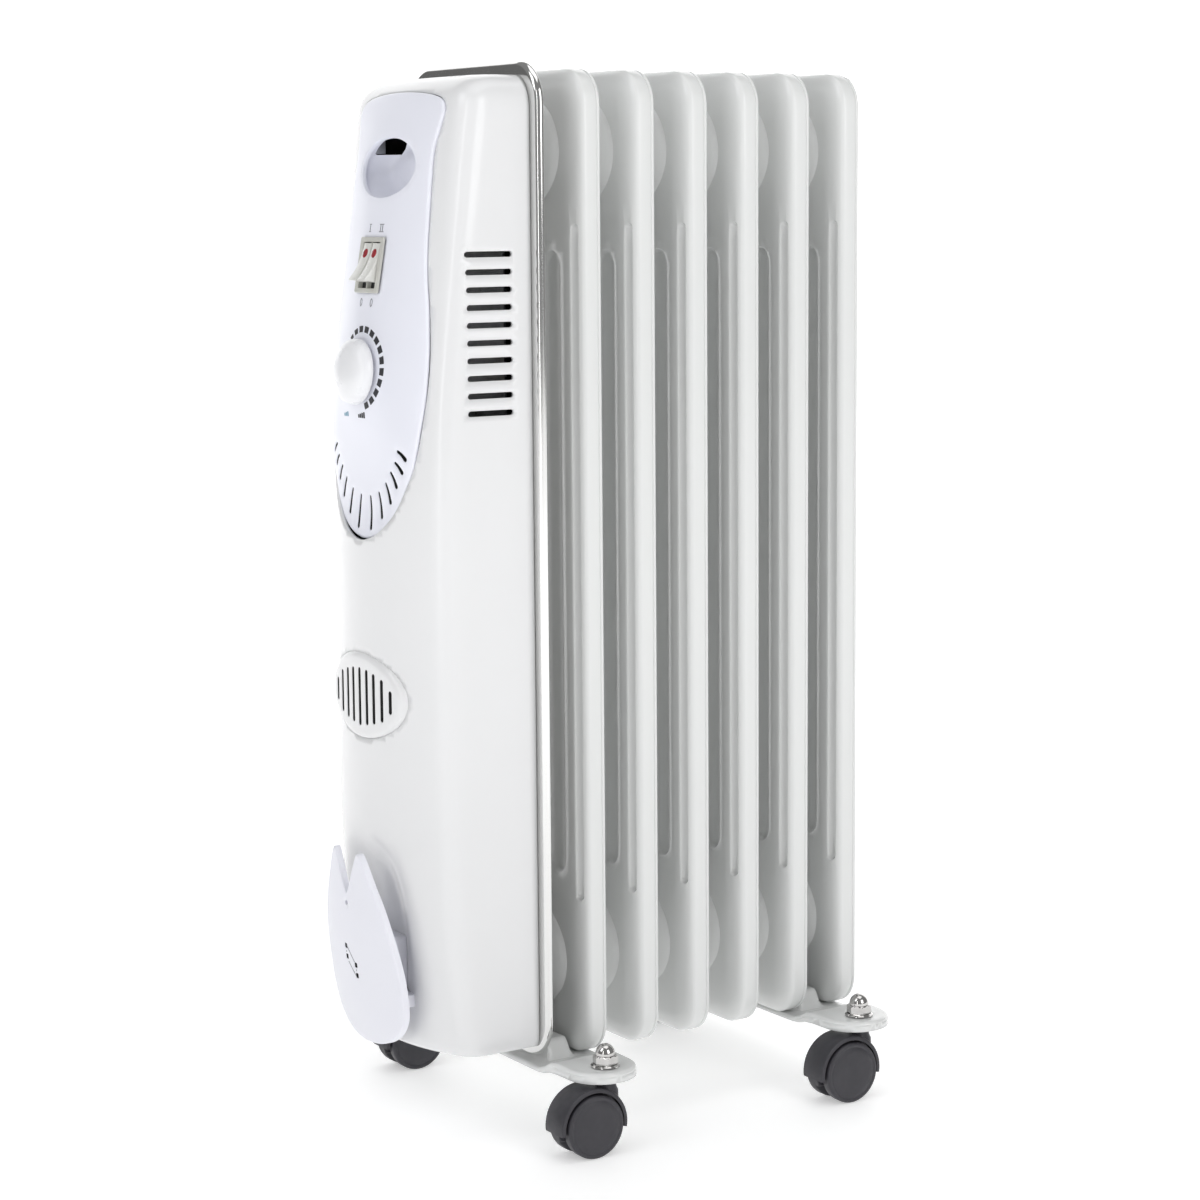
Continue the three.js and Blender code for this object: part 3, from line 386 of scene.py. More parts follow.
GLOSS = material("housing_gloss_white", (0.80, 0.803, 0.81), (0.815, 0.818, 0.825), 0.25, coat=0.25, bump=0.04, grain=2400, cloud=9, rvar=0.02, dist_mm=0.01)
COOL = material("facia_cool_white", (0.845, 0.855, 0.93), (0.855, 0.865, 0.94), 0.33, coat=0.15, coat_rough=0.15, bump=0.2, grain=1500, cloud=14, rvar=0.05)
KNOBW = material("knob_white", (0.84, 0.845, 0.87), (0.86, 0.865, 0.88), 0.3, coat=0.3, bump=0.1, grain=1500, cloud=30)
WRAPW = material("wrap_white", (0.84, 0.845, 0.91), (0.855, 0.86, 0.92), 0.36, coat=0.1, bump=0.2, grain=1300, cloud=16)
ENAMEL = material("fin_enamel", (0.770, 0.780, 0.773), (0.774, 0.784, 0.777), 0.27, coat=0.35, coat_rough=0.1, bump=0.04, grain=2400, cloud=3, rvar=0.003, dist_mm=0.01)
MIRROR = material("mirror_steel", (0.68, 0.68, 0.67), (0.73, 0.73, 0.72), 0.1, metal=1.0, bump=0.01, grain=2400, cloud=18, rvar=0.02, streak=(1, 1, 0.05))
CHROME = material("chrome", (0.50, 0.49, 0.48), (0.60, 0.59, 0.58), 0.07, metal=1.0, bump=0.08, grain=1500, cloud=90, rvar=0.05)
CHAR = material("charcoal_nylon", (0.031, 0.030, 0.037), (0.041, 0.039, 0.047), 0.46, bump=0.45, grain=2200, cloud=60, rvar=0.08, dist_mm=0.03)
DARK = material("inner_shadow_plastic", (0.02, 0.02, 0.021), (0.03, 0.03, 0.031), 0.75, bump=0.3, grain=900, cloud=30)
LGREY = material("switch_light_grey", (0.52, 0.52, 0.48), (0.56, 0.56, 0.52), 0.38, bump=0.25, grain=1800, cloud=80)
# near-black painted shade for inner walls
WALL = material("inner_wall_painted_shade", (0.05, 0.05, 0.052), (0.07, 0.07, 0.073), 0.7, bump=0.3, grain=900, cloud=30)
KEYW = material("key_pale_grey", (0.68, 0.68, 0.645), (0.72, 0.72, 0.69), 0.3, coat=0.2, bump=0.15, grain=1800, cloud=80)
LENS = material("lens_red", (0.20, 0.006, 0.012), (0.42, 0.018, 0.03), 0.12, coat=0.8, bump=0.05, grain=900, cloud=400)
PRINT = material("printed_black", (0.018, 0.018, 0.022), (0.03, 0.03, 0.035), 0.5, bump=0.1, grain=3000, cloud=200)
# grey used for printed switch marks and as painted shade on the grip opening walls and the wrap plate lines
PRINT_AND_SHADE_GREY = material("print_and_painted_shade_grey", (0.24, 0.245, 0.27), (0.30, 0.305, 0.33), 0.5, bump=0.1, grain=3000, cloud=200)
PRINTB = material("printed_blue", (0.15, 0.33, 0.44), (0.20, 0.38, 0.50), 0.5, bump=0.1, grain=3000, cloud=200)
ZINC = material("zinc_steel", (0.42, 0.43, 0.44), (0.55, 0.56, 0.57), 0.36, metal=1.0, bump=0.3, grain=1200, cloud=70, rvar=0.1)
BRASS = material("turned_brass", (0.50, 0.36, 0.14), (0.62, 0.45, 0.19), 0.3, metal=1.0, bump=0.3, grain=900, cloud=60, rvar=0.08)
AMBER = material("amber_phenolic", (0.36, 0.22, 0.09), (0.45, 0.29, 0.13), 0.55, bump=0.4, grain=900, cloud=50)
BLACKP = material("black_moulding", (0.018, 0.018, 0.018), (0.03, 0.03, 0.03), 0.5, bump=0.4, grain=1500, cloud=60)


# ---------------------------------------------------------------- control housing
_front = smooth_tab([[40, -108.2], [63, -110.4], [80, -113.5], [110, -117.5], [150, -120.5], [200, -122], [280, -122.5], [350, -122.2], [410, -120.8], [450, -117.8], [490, -112.6], [530, -105.6], [570, -98], [600, -90.6], [620, -85.7]], 9)
_curve = smooth_tab([[40, 1 / 114], [450, 1 / 116], [490, 1 / 122], [530, 1 / 150], [570, 1 / 205], [600, 1 / 357], [620, 1 / 400]], 9)
def _q(t):
    t = np.clip(t, 0, 1)
    return 1 - np.sqrt(np.maximum(0, 1 - t * t))
HZ0, HZ1, HYB, RC = 55.2, 616.0, -44.5, 14.0
front_y = lambda z: _front(z) + 19.3 * _q((z - 602.0) / 14.0) + 5.2 * _q((66.2 - z) / 11.0)
half_w = lambda z: 66 - 16 * _q((z - 597) / 19.0) - 3.4 * _q((66.2 - z) / 11.0)
ARCH = np.array([[52, 30], [51.6, 60], [50.5, 90], [48.8, 118], [46.4, 142], [43.5, 158], [38.8, 171], [32.5, 180], [23, 186.5], [12, 189.6]])
ARCH = np.vstack([ARCH, [[0, 190.4]], ARCH[::-1] * [-1, 1]])
_arch = spline(ARCH, 2.0, closed=False)
_floor = pchip([[40, -106.5], [105, -106.5], [130, -107.5], [150, -110], [170, -114.0], [192, -119.5]])

def section(z):
    hw, yc, c = half_w(z), front_y(z), _curve(z)
    t0 = np.full(np.shape(z), 0.4)
    for _ in range(14): t0 = np.arctan((hw - RC + RC * np.sin(t0)) * c)
    x1 = hw - RC + RC * np.sin(t0)
    yk = yc + x1 * x1 * c / 2 + RC * np.cos(t0)
    return hw, yc, c, t0, x1, yk
SA, SB, SC = 58.5, 74.5, 122.5
def house(q):
    s, z = q[:, 0], q[:, 1]
    hw, yc, c, t0, x1, yk = section(z)
    a, sg = np.abs(s), np.sign(s)
    x = a / SA * x1; y = yc + x * x * c / 2
    t = t0 + (math.pi / 2 - t0) * (a - SA) / (SB - SA)
    m = a > SA
    x = np.where(m, hw - RC + RC * np.sin(t), x); y = np.where(m, yk - RC * np.cos(t), y)
    m = a > SB
    x = np.where(m, hw, x); y = np.where(m, yk + (HYB - yk) * (a - SB) / (SC - SB), y)
    X = sg * x
    near = (z < 200) & (a < SA + 4)
    if near.any():
        pts = np.stack([X[near], z[near]], 1)
        d = dist(pts, _arch, closed=False) * inside(pts, _arch)
        w = 30.0
        fl = _floor(z[near])
        y[near] = y[near] + (np.maximum(fl, y[near]) - y[near]) * sstep(d / w) ** 1.15
    return np.stack([X, y, z], 1)
def to_s(x, z):
    x1 = section(np.asarray(z, float))[4]
    return x * SA / x1
def side_s(y, z, sg):
    yk = section(np.array([float(z)]))[5][0]
    return sg * (SB + (SC - SB) * (y - yk) / (HYB - yk))

FH = [[0, 607.5], [12, 607.3], [24, 606.5], [36, 604.9], [43, 602.9], [47, 600], [48.6, 596], [47.9, 591.6], [46.2, 585], [44.4, 577.5], [44.0, 570], [44.5, 560], [45.6, 543], [46.6, 524.4], [47.7, 511], [49.3, 500.4], [51.4, 489.5], [53.2, 476], [54.6, 461], [54.8, 447], [53.9, 434], [52.4, 422], [50.4, 409.5], [47.1, 396.5], [41.6, 384.4], [34.6, 372.4], [26.5, 363.9], [13.8, 356.6], [0, 353.9]]
_fr = np.array(FH); FACIA = ccw(spline(np.vstack([_fr, _fr[1:-1][::-1] * [-1, 1]]), 2.2))

outer = []
zs = np.concatenate([[55.2, 55.5, 56.1, 57.1, 58.5, 60.2, 62.2, 64.2, 66.2], np.arange(70, 597, 4.2), 597 + 19.0 * np.sin(np.radians(np.linspace(0, 90, 13)))])
outer += [(s, HZ0) for s in np.concatenate([np.linspace(-SC, -SB, 12), np.linspace(-SB, -SA, 9)[1:], np.linspace(-SA, SA, 60)[1:-1], np.linspace(SA, SB, 9), np.linspace(SB, SC, 12)[1:]])]
outer += [(SC, z) for z in zs[1:-1]]
outer += [(s, HZ1) for s in np.concatenate([np.linspace(SC, SB, 12), np.linspace(SB, SA, 9)[1:], np.linspace(SA, -SA, 40)[1:-1], np.linspace(-SA, -SB, 9), np.linspace(-SB, -SC, 12)[1:]])]
outer += [(-SC, z) for z in zs[1:-1][::-1]]
outer = ccw(outer)
fo = offset(FACIA, -0.14); tip = 0.32 * sstep((366 - FACIA[:, 1]) / 10)[:, None]; fo = fo + (offset(FACIA, -1.0) - FACIA) * tip; fhole = np.stack([to_s(fo[:, 0], fo[:, 1]), fo[:, 1]], 1)
GZ = 263.0
go = ellipse(42.12, 25.12, 0, GZ, 90); ghole = np.stack([to_s(go[:, 0], go[:, 1]), go[:, 1]], 1)
holes = [ccw(fhole), ccw(ghole)]
for i in range(10):
    z = 516.3 - i * 9.86
    for sg in (1, -1):
        a, b_ = sorted((side_s(-86.6, z, sg), side_s(-56.6, z, sg)))
        holes.append(ccw(capsule(z, a, b_, 3.3)[:, ::-1]))
pts = []
for lo, hi, st in (((-SB, 66.2), (SB, 200), 2.1), ((-SB, 200), (SB, 597), 3.6), ((SB, 66.2), (SC, 597), 4.6), ((-SC, 66.2), (-SB, 597), 4.6)):
    X, Z = np.meshgrid(np.arange(lo[0] + st / 2, hi[0], st), np.arange(lo[1] + st / 2, hi[1], st))
    pts.append(np.stack([X.ravel(), Z.ravel()], 1))
for z in list(zs[1:9]) + list(zs[-13:-1]):
    sv = np.concatenate([np.linspace(-SC, -SB, 12)[1:], np.linspace(-SB, -SA, 9)[1:], np.linspace(-SA, SA, 60)[1:-1], np.linspace(SA, SB, 9), np.linspace(SB, SC, 12)[1:-1]])
    pts.append(np.stack([sv, np.full(len(sv), z)], 1))
pts = np.vstack(pts)
pts = pts[dist(pts, outer) > 0.2]
keep = np.ones(len(pts), bool)
for h in holes:
    l, u = h.min(0) - 2, h.max(0) + 2
    m = (pts > l).all(1) & (pts < u).all(1)
    if m.any():
        k = np.where(m)[0]; keep[k[inside(pts[k], h) | (dist(pts[k], h) < 0.9)]] = False
v2, f2 = triangulate(outer, holes, [], pts[keep])
hv = house(v2)
hb = B().add(hv, f2)
# planar top and bottom panels close the shell above and below
def edge_chain(z):
    idx = [i for i in range(len(v2)) if abs(v2[i, 1] - z) < 2e-3]
    return sorted(idx, key=lambda i: v2[i, 0])
top = edge_chain(HZ1); bot = edge_chain(HZ0)
hb.f.append(tuple(top)); hb.m.append(0)
hb.f.append(tuple(bot[::-1])); hb.m.append(0)
# the inner face of the wall takes material 1, the near-black inner_shadow_plastic: painted shade inside the shell, seen
# through the openings and side slots
piece("housing_shell", hb, [GLOSS, DARK], "radiator", ["control_housing"], angle=50, solid=2.4, solid_mat=1)

# ---------------------------------------------------------------- facia
_fy = smooth_tab([[335, -119.9], [354, -119.2], [362, -118], [375, -117.1], [390, -117.2], [405, -117.9], [420, -119.4], [435, -120.3], [450, -119.5], [465, -117.8], [489, -114.5], [510, -110.8], [531, -107.2], [572, -99.4], [601, -92], [615, -87.5]], 5)
_fa = smooth_tab([[335, 0], [400, 0.0002], [435, 0.0034], [450, 0.0042], [490, 0.0041], [531, 0.0033], [572, 0.0024], [601, 0.0015], [615, 0.0013]], 6)
_fb = smooth_tab([[335, 1.1e-6], [400, 9e-7], [435, 3e-7], [450, 0], [615, 0]], 6)
def facia_y(x, z): return _fy(z) + _fa(z) * x * x + _fb(z) * x ** 4
def facia(q): return np.stack([q[:, 0], facia_y(q[:, 0], q[:, 1]), q[:, 1]], 1)
def control(z, tilt):
    y0 = float(np.interp(z, [435, 450, 465, 489, 510, 531], [-120.3, -119.5, -117.8, -114.5, -110.8, -107.2]))
    return Matrix.Translation((0, y0, z)) @ Matrix.Rotation(-rad(tilt), 4, 'X')
KZ, ST = 450.5, 9.9
GR = ellipse(31, 17, 0, 565, 96)
def bez(a, b, bow, n=9):
    a, b = np.array(a, float), np.array(b, float); d = b - a; nn = np.array([-d[1], d[0]]) / np.hypot(*d)
    t = np.linspace(0, 1, n)[:, None]
    return a + d * t + nn * bow * np.sin(math.pi * t) * (1 - 0.3 * t)
fan = [(-39.2, 404.2, -42.2, 402.0, 3.4), (-36, 397.5, -39.1, 394.5, 3.0), (-31.4, 390.2, -33.9, 386.2, 4.2), (-26, 381.6, -28, 376.9, 6.0), (-17.5, 374.5, -19.2, 367.9, 7.0), (-6.6, 369.5, -7.5, 360.6, 9.0)]
louvres = []
for xi, zi, xo, zo, ext in fan:
    d = np.array([xo - xi, zo - zi]); d /= np.hypot(*d)
    a = np.array([xi, zi]) - d * ext
    st = bez(a, (xo, zo), -0.5)
    louvres.append(ribbon(st, 1.7, 2.7))
    louvres.append(ribbon(st * [-1, 1], 1.7, 2.7))
switch_hole = rrect(-11.3, 11.3, 510 - 14.1, 510 + 14.1, 0.8, 3)
knob_hole = ellipse(7, 7, 0, KZ, 32)
# the louvre walls below z 416 take the near-black material: painted shade inside the slots
fb = panel(FACIA, [GR, switch_hole, knob_hole] + louvres, facia, 2.4, r_out=1.5, r_hole=0.45, step=3.0, dark=lambda q: q[1] < 416)
# a near-black liner 3.1 mm behind the lower facia: painted shade seen through the louvres
_li = [p for p in offset(FACIA, 5.0) if p[1] < 413]
_li = ccw(resample(np.array(sorted(_li, key=lambda p: math.atan2(p[0], 430 - p[1]))), 3.0))
fl = panel(_li, [], lambda q: facia(q) + [0, 3.1, 0], 0.7, r_out=0, r_hole=0, step=6.0, normal=(0, -1, 0)); fb.add(fl.v, fl.f, 1)
piece("facia_moulding", fb, [COOL, DARK], "radiator", ["control_facia"], angle=42)

# ---------------------------------------------------------------- grip scoop
def scoop(q):
    x, z = q[:, 0], q[:, 1]
    r = np.sqrt((x / 33.0) ** 2 + ((z - 565) / 19.0) ** 2)
    dep = 2.6 + 18.5 * (1 - np.clip(r, 0, 1) ** 9)
    return np.stack([x, facia_y(x * 0, z * 0 + 565) + (facia_y(x, z) - facia_y(x * 0, z * 0 + 565)) * 0.9 + dep, z], 1)
so = ellipse(33, 19, 0, 565, 96)
srings = [ellipse(33 * k, 19 * k, 0, 565, 90) for k in (0.985, 0.965, 0.94, 0.91, 0.87, 0.82, 0.74)]
_e = [(33 * 0.985 * math.cos(t), 565 + 19 * 0.985 * math.sin(t)) for t in np.radians(np.linspace(24.0, 72, 16))]
_sh = [(p_[0], p_[1]) for p_ in _e if p_[1] > 572.6 and p_[0] > 9.8]
_sh = [(20.0, 572.6), (29.4, 572.6)] + [p_ for p_ in _sh if p_[0] < 29.3] + [(9.5, 581.2), (10.4, 579.6)]
shs = [ccw(np.array(_sh)), ccw(np.array(_sh) * [-1, 1])]
sb = panel(so, shs, scoop, 1.6, r_out=0, r_hole=0, step=2.0, more=srings, normal=(0, -1, 0))
# grey walls at the sides of the opening above the cup: painted shade
for sx in (-1, 1):
    yq = float(facia_y(28.0, 577.0))
    v, f = rbox(sx * 28.9 - 0.6, sx * 28.9 + 0.6, yq + 5.6, yq + 12.0, 573.2, 584.0, 0.2, 1); sb.add(v, f, 1)
piece("grip_cup", sb, [COOL, PRINT_AND_SHADE_GREY], "radiator", ["grip_scoop"], angle=45)

# ---------------------------------------------------------------- oval grille
def grille(q):
    x, z = q[:, 0], q[:, 1]
    face = -123.6 + x * x / 372
    hs = _front(z) + _curve(z) * x * x / 2 + 0.3
    d = dist(q, ccw(ellipse(42, 25, 0, GZ, 90)))
    k = _q(1 - d / 4.6)
    return np.stack([x, face + (hs - face) * k, z], 1)
gs = []
for x, z0, z1 in ((0, 245.2, 279.3), (8, 246.3, 278.7), (15.5, 247.8, 277.2), (23.6, 250, 274.8), (31.6, 255.6, 269.2)):
    for sx in ([-x, x] if x else [0]): gs.append(ccw(capsule(sx, z0, z1, 2.9)))
more = [offset(ellipse(42, 25, 0, GZ, 90), d) for d in (0.5, 1.2, 2.2, 3.4, 4.6)]
# all slot walls and a near-black liner behind the grille are painted shade seen through the slots
gb = panel(ellipse(42, 25, 0, GZ, 90), gs, grille, 2.2, r_out=0, r_hole=0.25, step=2.0, more=more, normal=(0, -1, 0), dark=lambda q: True)
gl = panel(ellipse(38, 21, 0, GZ, 60), [], lambda q: np.stack([q[:, 0], -119.6 + q[:, 0] ** 2 / 372, q[:, 1]], 1), 0.7, r_out=0, r_hole=0, step=6.0, normal=(0, -1, 0)); gb.add(gl.v, gl.f, 1)
piece("grille_oval", gb, [GLOSS, DARK], "radiator", ["lower_grille"], angle=50)

# ---------------------------------------------------------------- switch
M = control(510, ST)
b = B()
def frame_ring(M):
    # bezel: a bevelled frame around the two rockers
    o = rrect(-13.5, 13.5, -16, 16, 1.0, 3); i = rrect(-9.9, 9.9, -13.3, 13.3, 0.6, 3)
    rings = []
    for (L, y) in ((o, -0.3), (o, -1.1), (offset(o, 0.35), -1.5), (offset(i, -0.3), -1.5), (i, -1.2), (i, 6.0)):
        L = ccw(L); rings.append([tuple(M @ Vector((p[0], y, p[1]))) for p in L])
    return ringloft(rings)
v, f = frame_ring(M); b.add(v, f)
v, f = rbox(-11, 11, 3, 20, -14, 14, 0.8, 2, M); b.add(v, f)
v, f = rbox(-0.45, 0.45, -1.3, 5, -13.2, 13.2, 0.15, 1, M); b.add(v, f)
# a near-black plate behind the rockers: painted shade, seen as dark gaps under the key tips
v, f = rbox(-9.85, 9.85, 1.6, 2.8, -13.25, 13.25, 0.1, 1, M); b.add(v, f, 1)
piece("switch_case", b, [LGREY, DARK], "radiator", ["switch_body"], angle=35)
for side, x0 in (("left", -9.6), ("right", 0.8)):
    x1 = x0 + 8.8
    up = [(12.5, -1.1), (10, -1.3), (6, -1.9), (2, -2.9), (-2, -4.2), (-5.4, -5.9), (-8.2, -7.6), (-9.2, -8.2), (-9.8, -8.2), (-10.0, -7.7)]
    lo = [(-9.6, -4.5), (-9.9, -1.5), (-9.6, 2.0), (-6, 5.4), (6, 5.4), (12.4, 2.2)]
    prof = np.array(up + lo)
    b = B(); rings = []
    for (x, ins) in ((x0, 0.45), (x0 + 0.18, 0.12), (x0 + 0.5, 0), (x1 - 0.5, 0), (x1 - 0.18, 0.12), (x1, 0.45)):
        c = ccw(prof); c = offset(c, ins) if ins else c
        rings.append([tuple(M @ Vector((x, p[1], p[0]))) for p in c])
    v, f = ringloft(rings, True, True); b.add(v, f)
    piece(f"rocker_{side}_key", b, KEYW, f"rocker_{side}", [f"rocker_switch_{side}"], angle=30)
    # red lens let into the upper half of the key
    cx = (x0 + x1) / 2
    def on_key(q): return np.stack([q[:, 0], np.interp(q[:, 1], [u[0] for u in up[::-1]], [u[1] for u in up[::-1]]) - 0.35, q[:, 1]], 1)
    lb = panel(ellipse(2.6, 2.7, cx, 6.6, 28), [], on_key, 0.9, r_out=0.35, step=1.2)
    lb.v = [tuple(M @ Vector(p)) for p in lb.v]
    piece(f"rocker_{side}_lens", lb, LENS, f"rocker_{side}", angle=40)

# ---------------------------------------------------------------- knob
M = control(KZ - 0.8, 5)
Mk = M @ Matrix.Rotation(math.pi / 2, 4, 'X')        # local +Z points out of the facia
prof = [(0, -2.5), (5.8, -2.5), (5.8, 0.9), (17.9, 0.9)] + arc(17.9, 1.9, 1.0, -90, 0, 4) + [(18.85, 3.2), (18.6, 4.6)] + [(18.3 * math.cos(rad(a)) ** 0.82, 4.9 + 6.7 * math.sin(rad(a))) for a in np.linspace(6, 84, 14)] + [(0, 11.7)]
v, f = lathe(prof, Mk, 72)
b = B().add(v, f)
piece("knob_dome", b, KNOBW, "knob", ["thermostat_knob"], angle=40)

# printed scale round the knob, marks of the switch
b = B(); bg = B(); bb = B()
def patch(b, outline, lift=0.14, thick=0.12, m=0):
    o = ccw(outline)
    q = panel(o, [], lambda p: facia(p) - [0, lift, 0], thick, r_out=0, r_hole=0, step=2.2, normal=(0, -1, 0))
    b.add(q.v, q.f, m)
for i in range(14):
    a = 145 - i * (213.5 / 13)
    hw_ = 1.2 + 0.33 * i if i < 13 else 5.2
    hw_ = min(hw_, 5.0)
    ri, ro = 20.5, min(24.1, 22.6 + 0.5 * i)
    da = [3.2, 4.8, 5.3][i] if i < 3 else 5.5
    aa = np.radians(np.linspace(a - da, a + da, 5))
    pts_ = [(ro * math.cos(t), 451.7 + ro * math.sin(t)) for t in aa] + [(ri * math.cos(t), 451.7 + ri * math.sin(t)) for t in aa[::-1]]
    patch(b, np.array(pts_))
patch(b, ribbon(np.array([(-13.9, 434.9), (-15.4, 432.6)]), 0.6, 1.2))
for (x, z) in ((-6.6, 531), ): patch(bg, rrect(x - 0.35, x + 0.35, z - 2.1, z + 2.1, 0.2, 2, 1.2))
for x in (5.6, 7.7): patch(bg, rrect(x - 0.35, x + 0.35, 531 - 2.1, 531 + 2.1, 0.2, 2, 1.2))
for (x, z) in ((-6.6, 531), (6.65, 531)):
    w = 1.3 if x < 0 else 2.4
    for dz in (-2.1, 2.1): patch(bg, rrect(x - w, x + w, z + dz - 0.22, z + dz + 0.22, 0.1, 2, 1.0))
for x in (-6, 6):
    q = panel(ellipse(1.3, 2.4, x, 489, 20), [ellipse(0.75, 1.8, x, 489, 16)], lambda p: facia(p) - [0, 0.14, 0], 0.12, r_out=0, r_hole=0, step=1.5, normal=(0, -1, 0))
    bg.add(q.v, q.f)
piece("scale_marks", b, PRINT, "radiator", angle=60)
# plain low and high bars under the dial instead of lettering
for i, h in enumerate((1.8, 2.3, 2.8)):
    patch(bb, rrect(-21.0 + i * 2.2, -19.5 + i * 2.2, 423.4, 423.4 + h, 0.25, 2, 1.0))
b2 = B()
for i, h in enumerate((2.0, 2.5, 3.0, 3.5)):
    patch(b2, rrect(-2.2 + i * 2.1, -0.6 + i * 2.1, 423.4, 423.4 + h, 0.25, 2, 1.0))
piece("scale_low_bars", bb, PRINTB, "radiator", angle=60)
piece("scale_high_bars", b2, PRINT, "radiator", angle=60)
piece("switch_marks", bg, PRINT_AND_SHADE_GREY, "radiator", angle=60)

# ---------------------------------------------------------------- cord wrap plate and its post
_wy = smooth_tab([[40, -118.3], [52, -121.8], [56, -122.8], [61, -124.2], [65.7, -125.4], [70, -126.8], [77, -127.9], [83, -129.3], [92.4, -130.7], [102, -131.9], [111.6, -133.1], [121, -134.1], [135, -135.0], [145, -135.2], [155.6, -135.5], [172, -136.0], [185, -136.2]], 4)
WH = [[0, 147], [3.5, 153], [7, 161], [11, 169.2], [12.6, 172.0], [13.6, 172.7], [15.0, 172.5], [16.2, 171.3], [19.7, 165.8], [25, 155.6], [30.6, 145.2], [35.2, 134.6], [39.4, 121.4], [41.6, 111.0], [42.8, 100], [42.9, 92.4], [42.3, 84], [40.5, 77.0], [37, 70.7], [31.7, 65.3], [24.1, 60.7], [16, 57.9], [8, 56.6], [0, 56.2]]
_w = np.array(WH)
WRAP = ccw(spline(np.vstack([_w, _w[1:-1][::-1] * [-1, 1]]), 1.8, sharp=(0,)))
def wrap(q): return np.stack([q[:, 0], _wy(q[:, 1]) + q[:, 0] ** 2 / 228, q[:, 1]], 1)
wh = [ccw(ellipse(1.5, 1.5, 0, 141.5, 20))]
for x, z in ((-4.9, 114.4), (-4.9, 107.9), (4.7, 104.4), (4.7, 98.0)): wh.append(ccw(rrect(x - 1.4, x + 1.4, z - 1.5, z + 1.5, 0.5, 3)))
# walls of the snap slots below z 130 and the small boxes behind them take the near-black material: painted shade inside
# the slots
wb = panel(WRAP, wh, wrap, 4.0, r_out=0.9, r_hole=0.2, step=2.6, normal=(0, -1, 0), dark=lambda q: q[1] < 130)
for x, z in ((-4.9, 114.4), (-4.9, 107.9), (4.7, 104.4), (4.7, 98.0)):
    yq = float(wrap(np.array([[x, z]]))[0, 1]); v, f = rbox(x - 1.3, x + 1.3, yq + 0.9, yq + 1.6, z - 1.4, z + 1.4, 0.1, 1); wb.add(v, f, 1)
piece("wrap_leaf", wb, [WRAPW, DARK], "radiator", ["cord_wrap_plate"], angle=42)
# fine moulded lines that join the snap slots, drawn as thin grey strips: painted shade of the moulded lines
b = B()
for (x0, z0, x1, z1) in ((-3.6, 114.6, 3.6, 106.2), (-3.6, 104.8, 3.6, 97.6), (-4.9, 111.2, -4.9, 110.6), (4.7, 101.6, 4.7, 101.0)):
    st = np.linspace([x0, z0], [x1, z1], 6)
    q = panel(ribbon(st, 0.6, 0.6, 2), [], lambda p: wrap(p) - [0, 0.1, 0], 0.3, r_out=0, r_hole=0, step=3, normal=(0, -1, 0))
    b.add(q.v, q.f)
piece("wrap_lines", b, PRINT_AND_SHADE_GREY, "radiator", angle=60)
b = B()
v, f = rbox(-13, 13, -128.5, -105.9, 84, 118, 1.2, 3); b.add(v, f)
v, f = rbox(-21, 21, -117.5, -105.8, 90, 122, 2.0, 3); b.add(v, f)
for sx in (-1, 1):
    v, f = rbox(sx * 20.5 - 10.5, sx * 20.5 + 10.5, -117.0, -106.0, 81.5, 89.0, 1.0, 2); b.add(v, f)
piece("wrap_post", b, WRAPW, "radiator", ["cord_wrap_bracket"], angle=35)
v, f = lathe([(3.6, -7), (3.6, 6), (6, 6), (6, -0.4), (8.2, -0.4)] + arc(7.6, 1.2, 0.9, -60, 90, 5) + [(6.2, 4.2), (5.2, 6.4), (4.4, 6.8), (3.6, 6.5), (3.6, -7)], axis_matrix((-28, -105.9, 78), (0, -1, 0)), 40)
b = B().add([p for p in v], f)
piece("bushing_grommet", b, BLACKP, "radiator", ["cord_bushing"], angle=45)

# ---------------------------------------------------------------- mirror end plate
def rr3(w, h, r, y, cz, seg=14, step=24):
    return [(x, y, z) for x, z in rrect(-w / 2, w / 2, cz - h / 2, cz + h / 2, r, seg, step)]
PZ0, PZ1 = 46.6, 623.9; pc, ph = (PZ0 + PZ1) / 2, PZ1 - PZ0
def pring(i, y): return rr3(147 - 2 * i, ph - 2 * i, 24 - min(i, 20), y, pc, 40, 24)
rings = [pring(6.0, -42.9), pring(3.6, -42.8), pring(2.4, -42.3), pring(1.6, -41.4), pring(1.2, -40.4), pring(1.0, -39.8), pring(0.7, -39.55), pring(0.35, -39.6), pring(0.1, -39.95)]
rings += [pring(3.4 * (1 - math.sin(rad(a))), -40.5 - 3.65 * math.cos(rad(a))) for a in np.linspace(85, 0, 12)] + [pring(6.0, -44.15)]
v, f = ringloft(rings, True, True)
piece("mirror_panel", B().add(v, f), MIRROR, "radiator", ["mirror_end_plate"], angle=45)

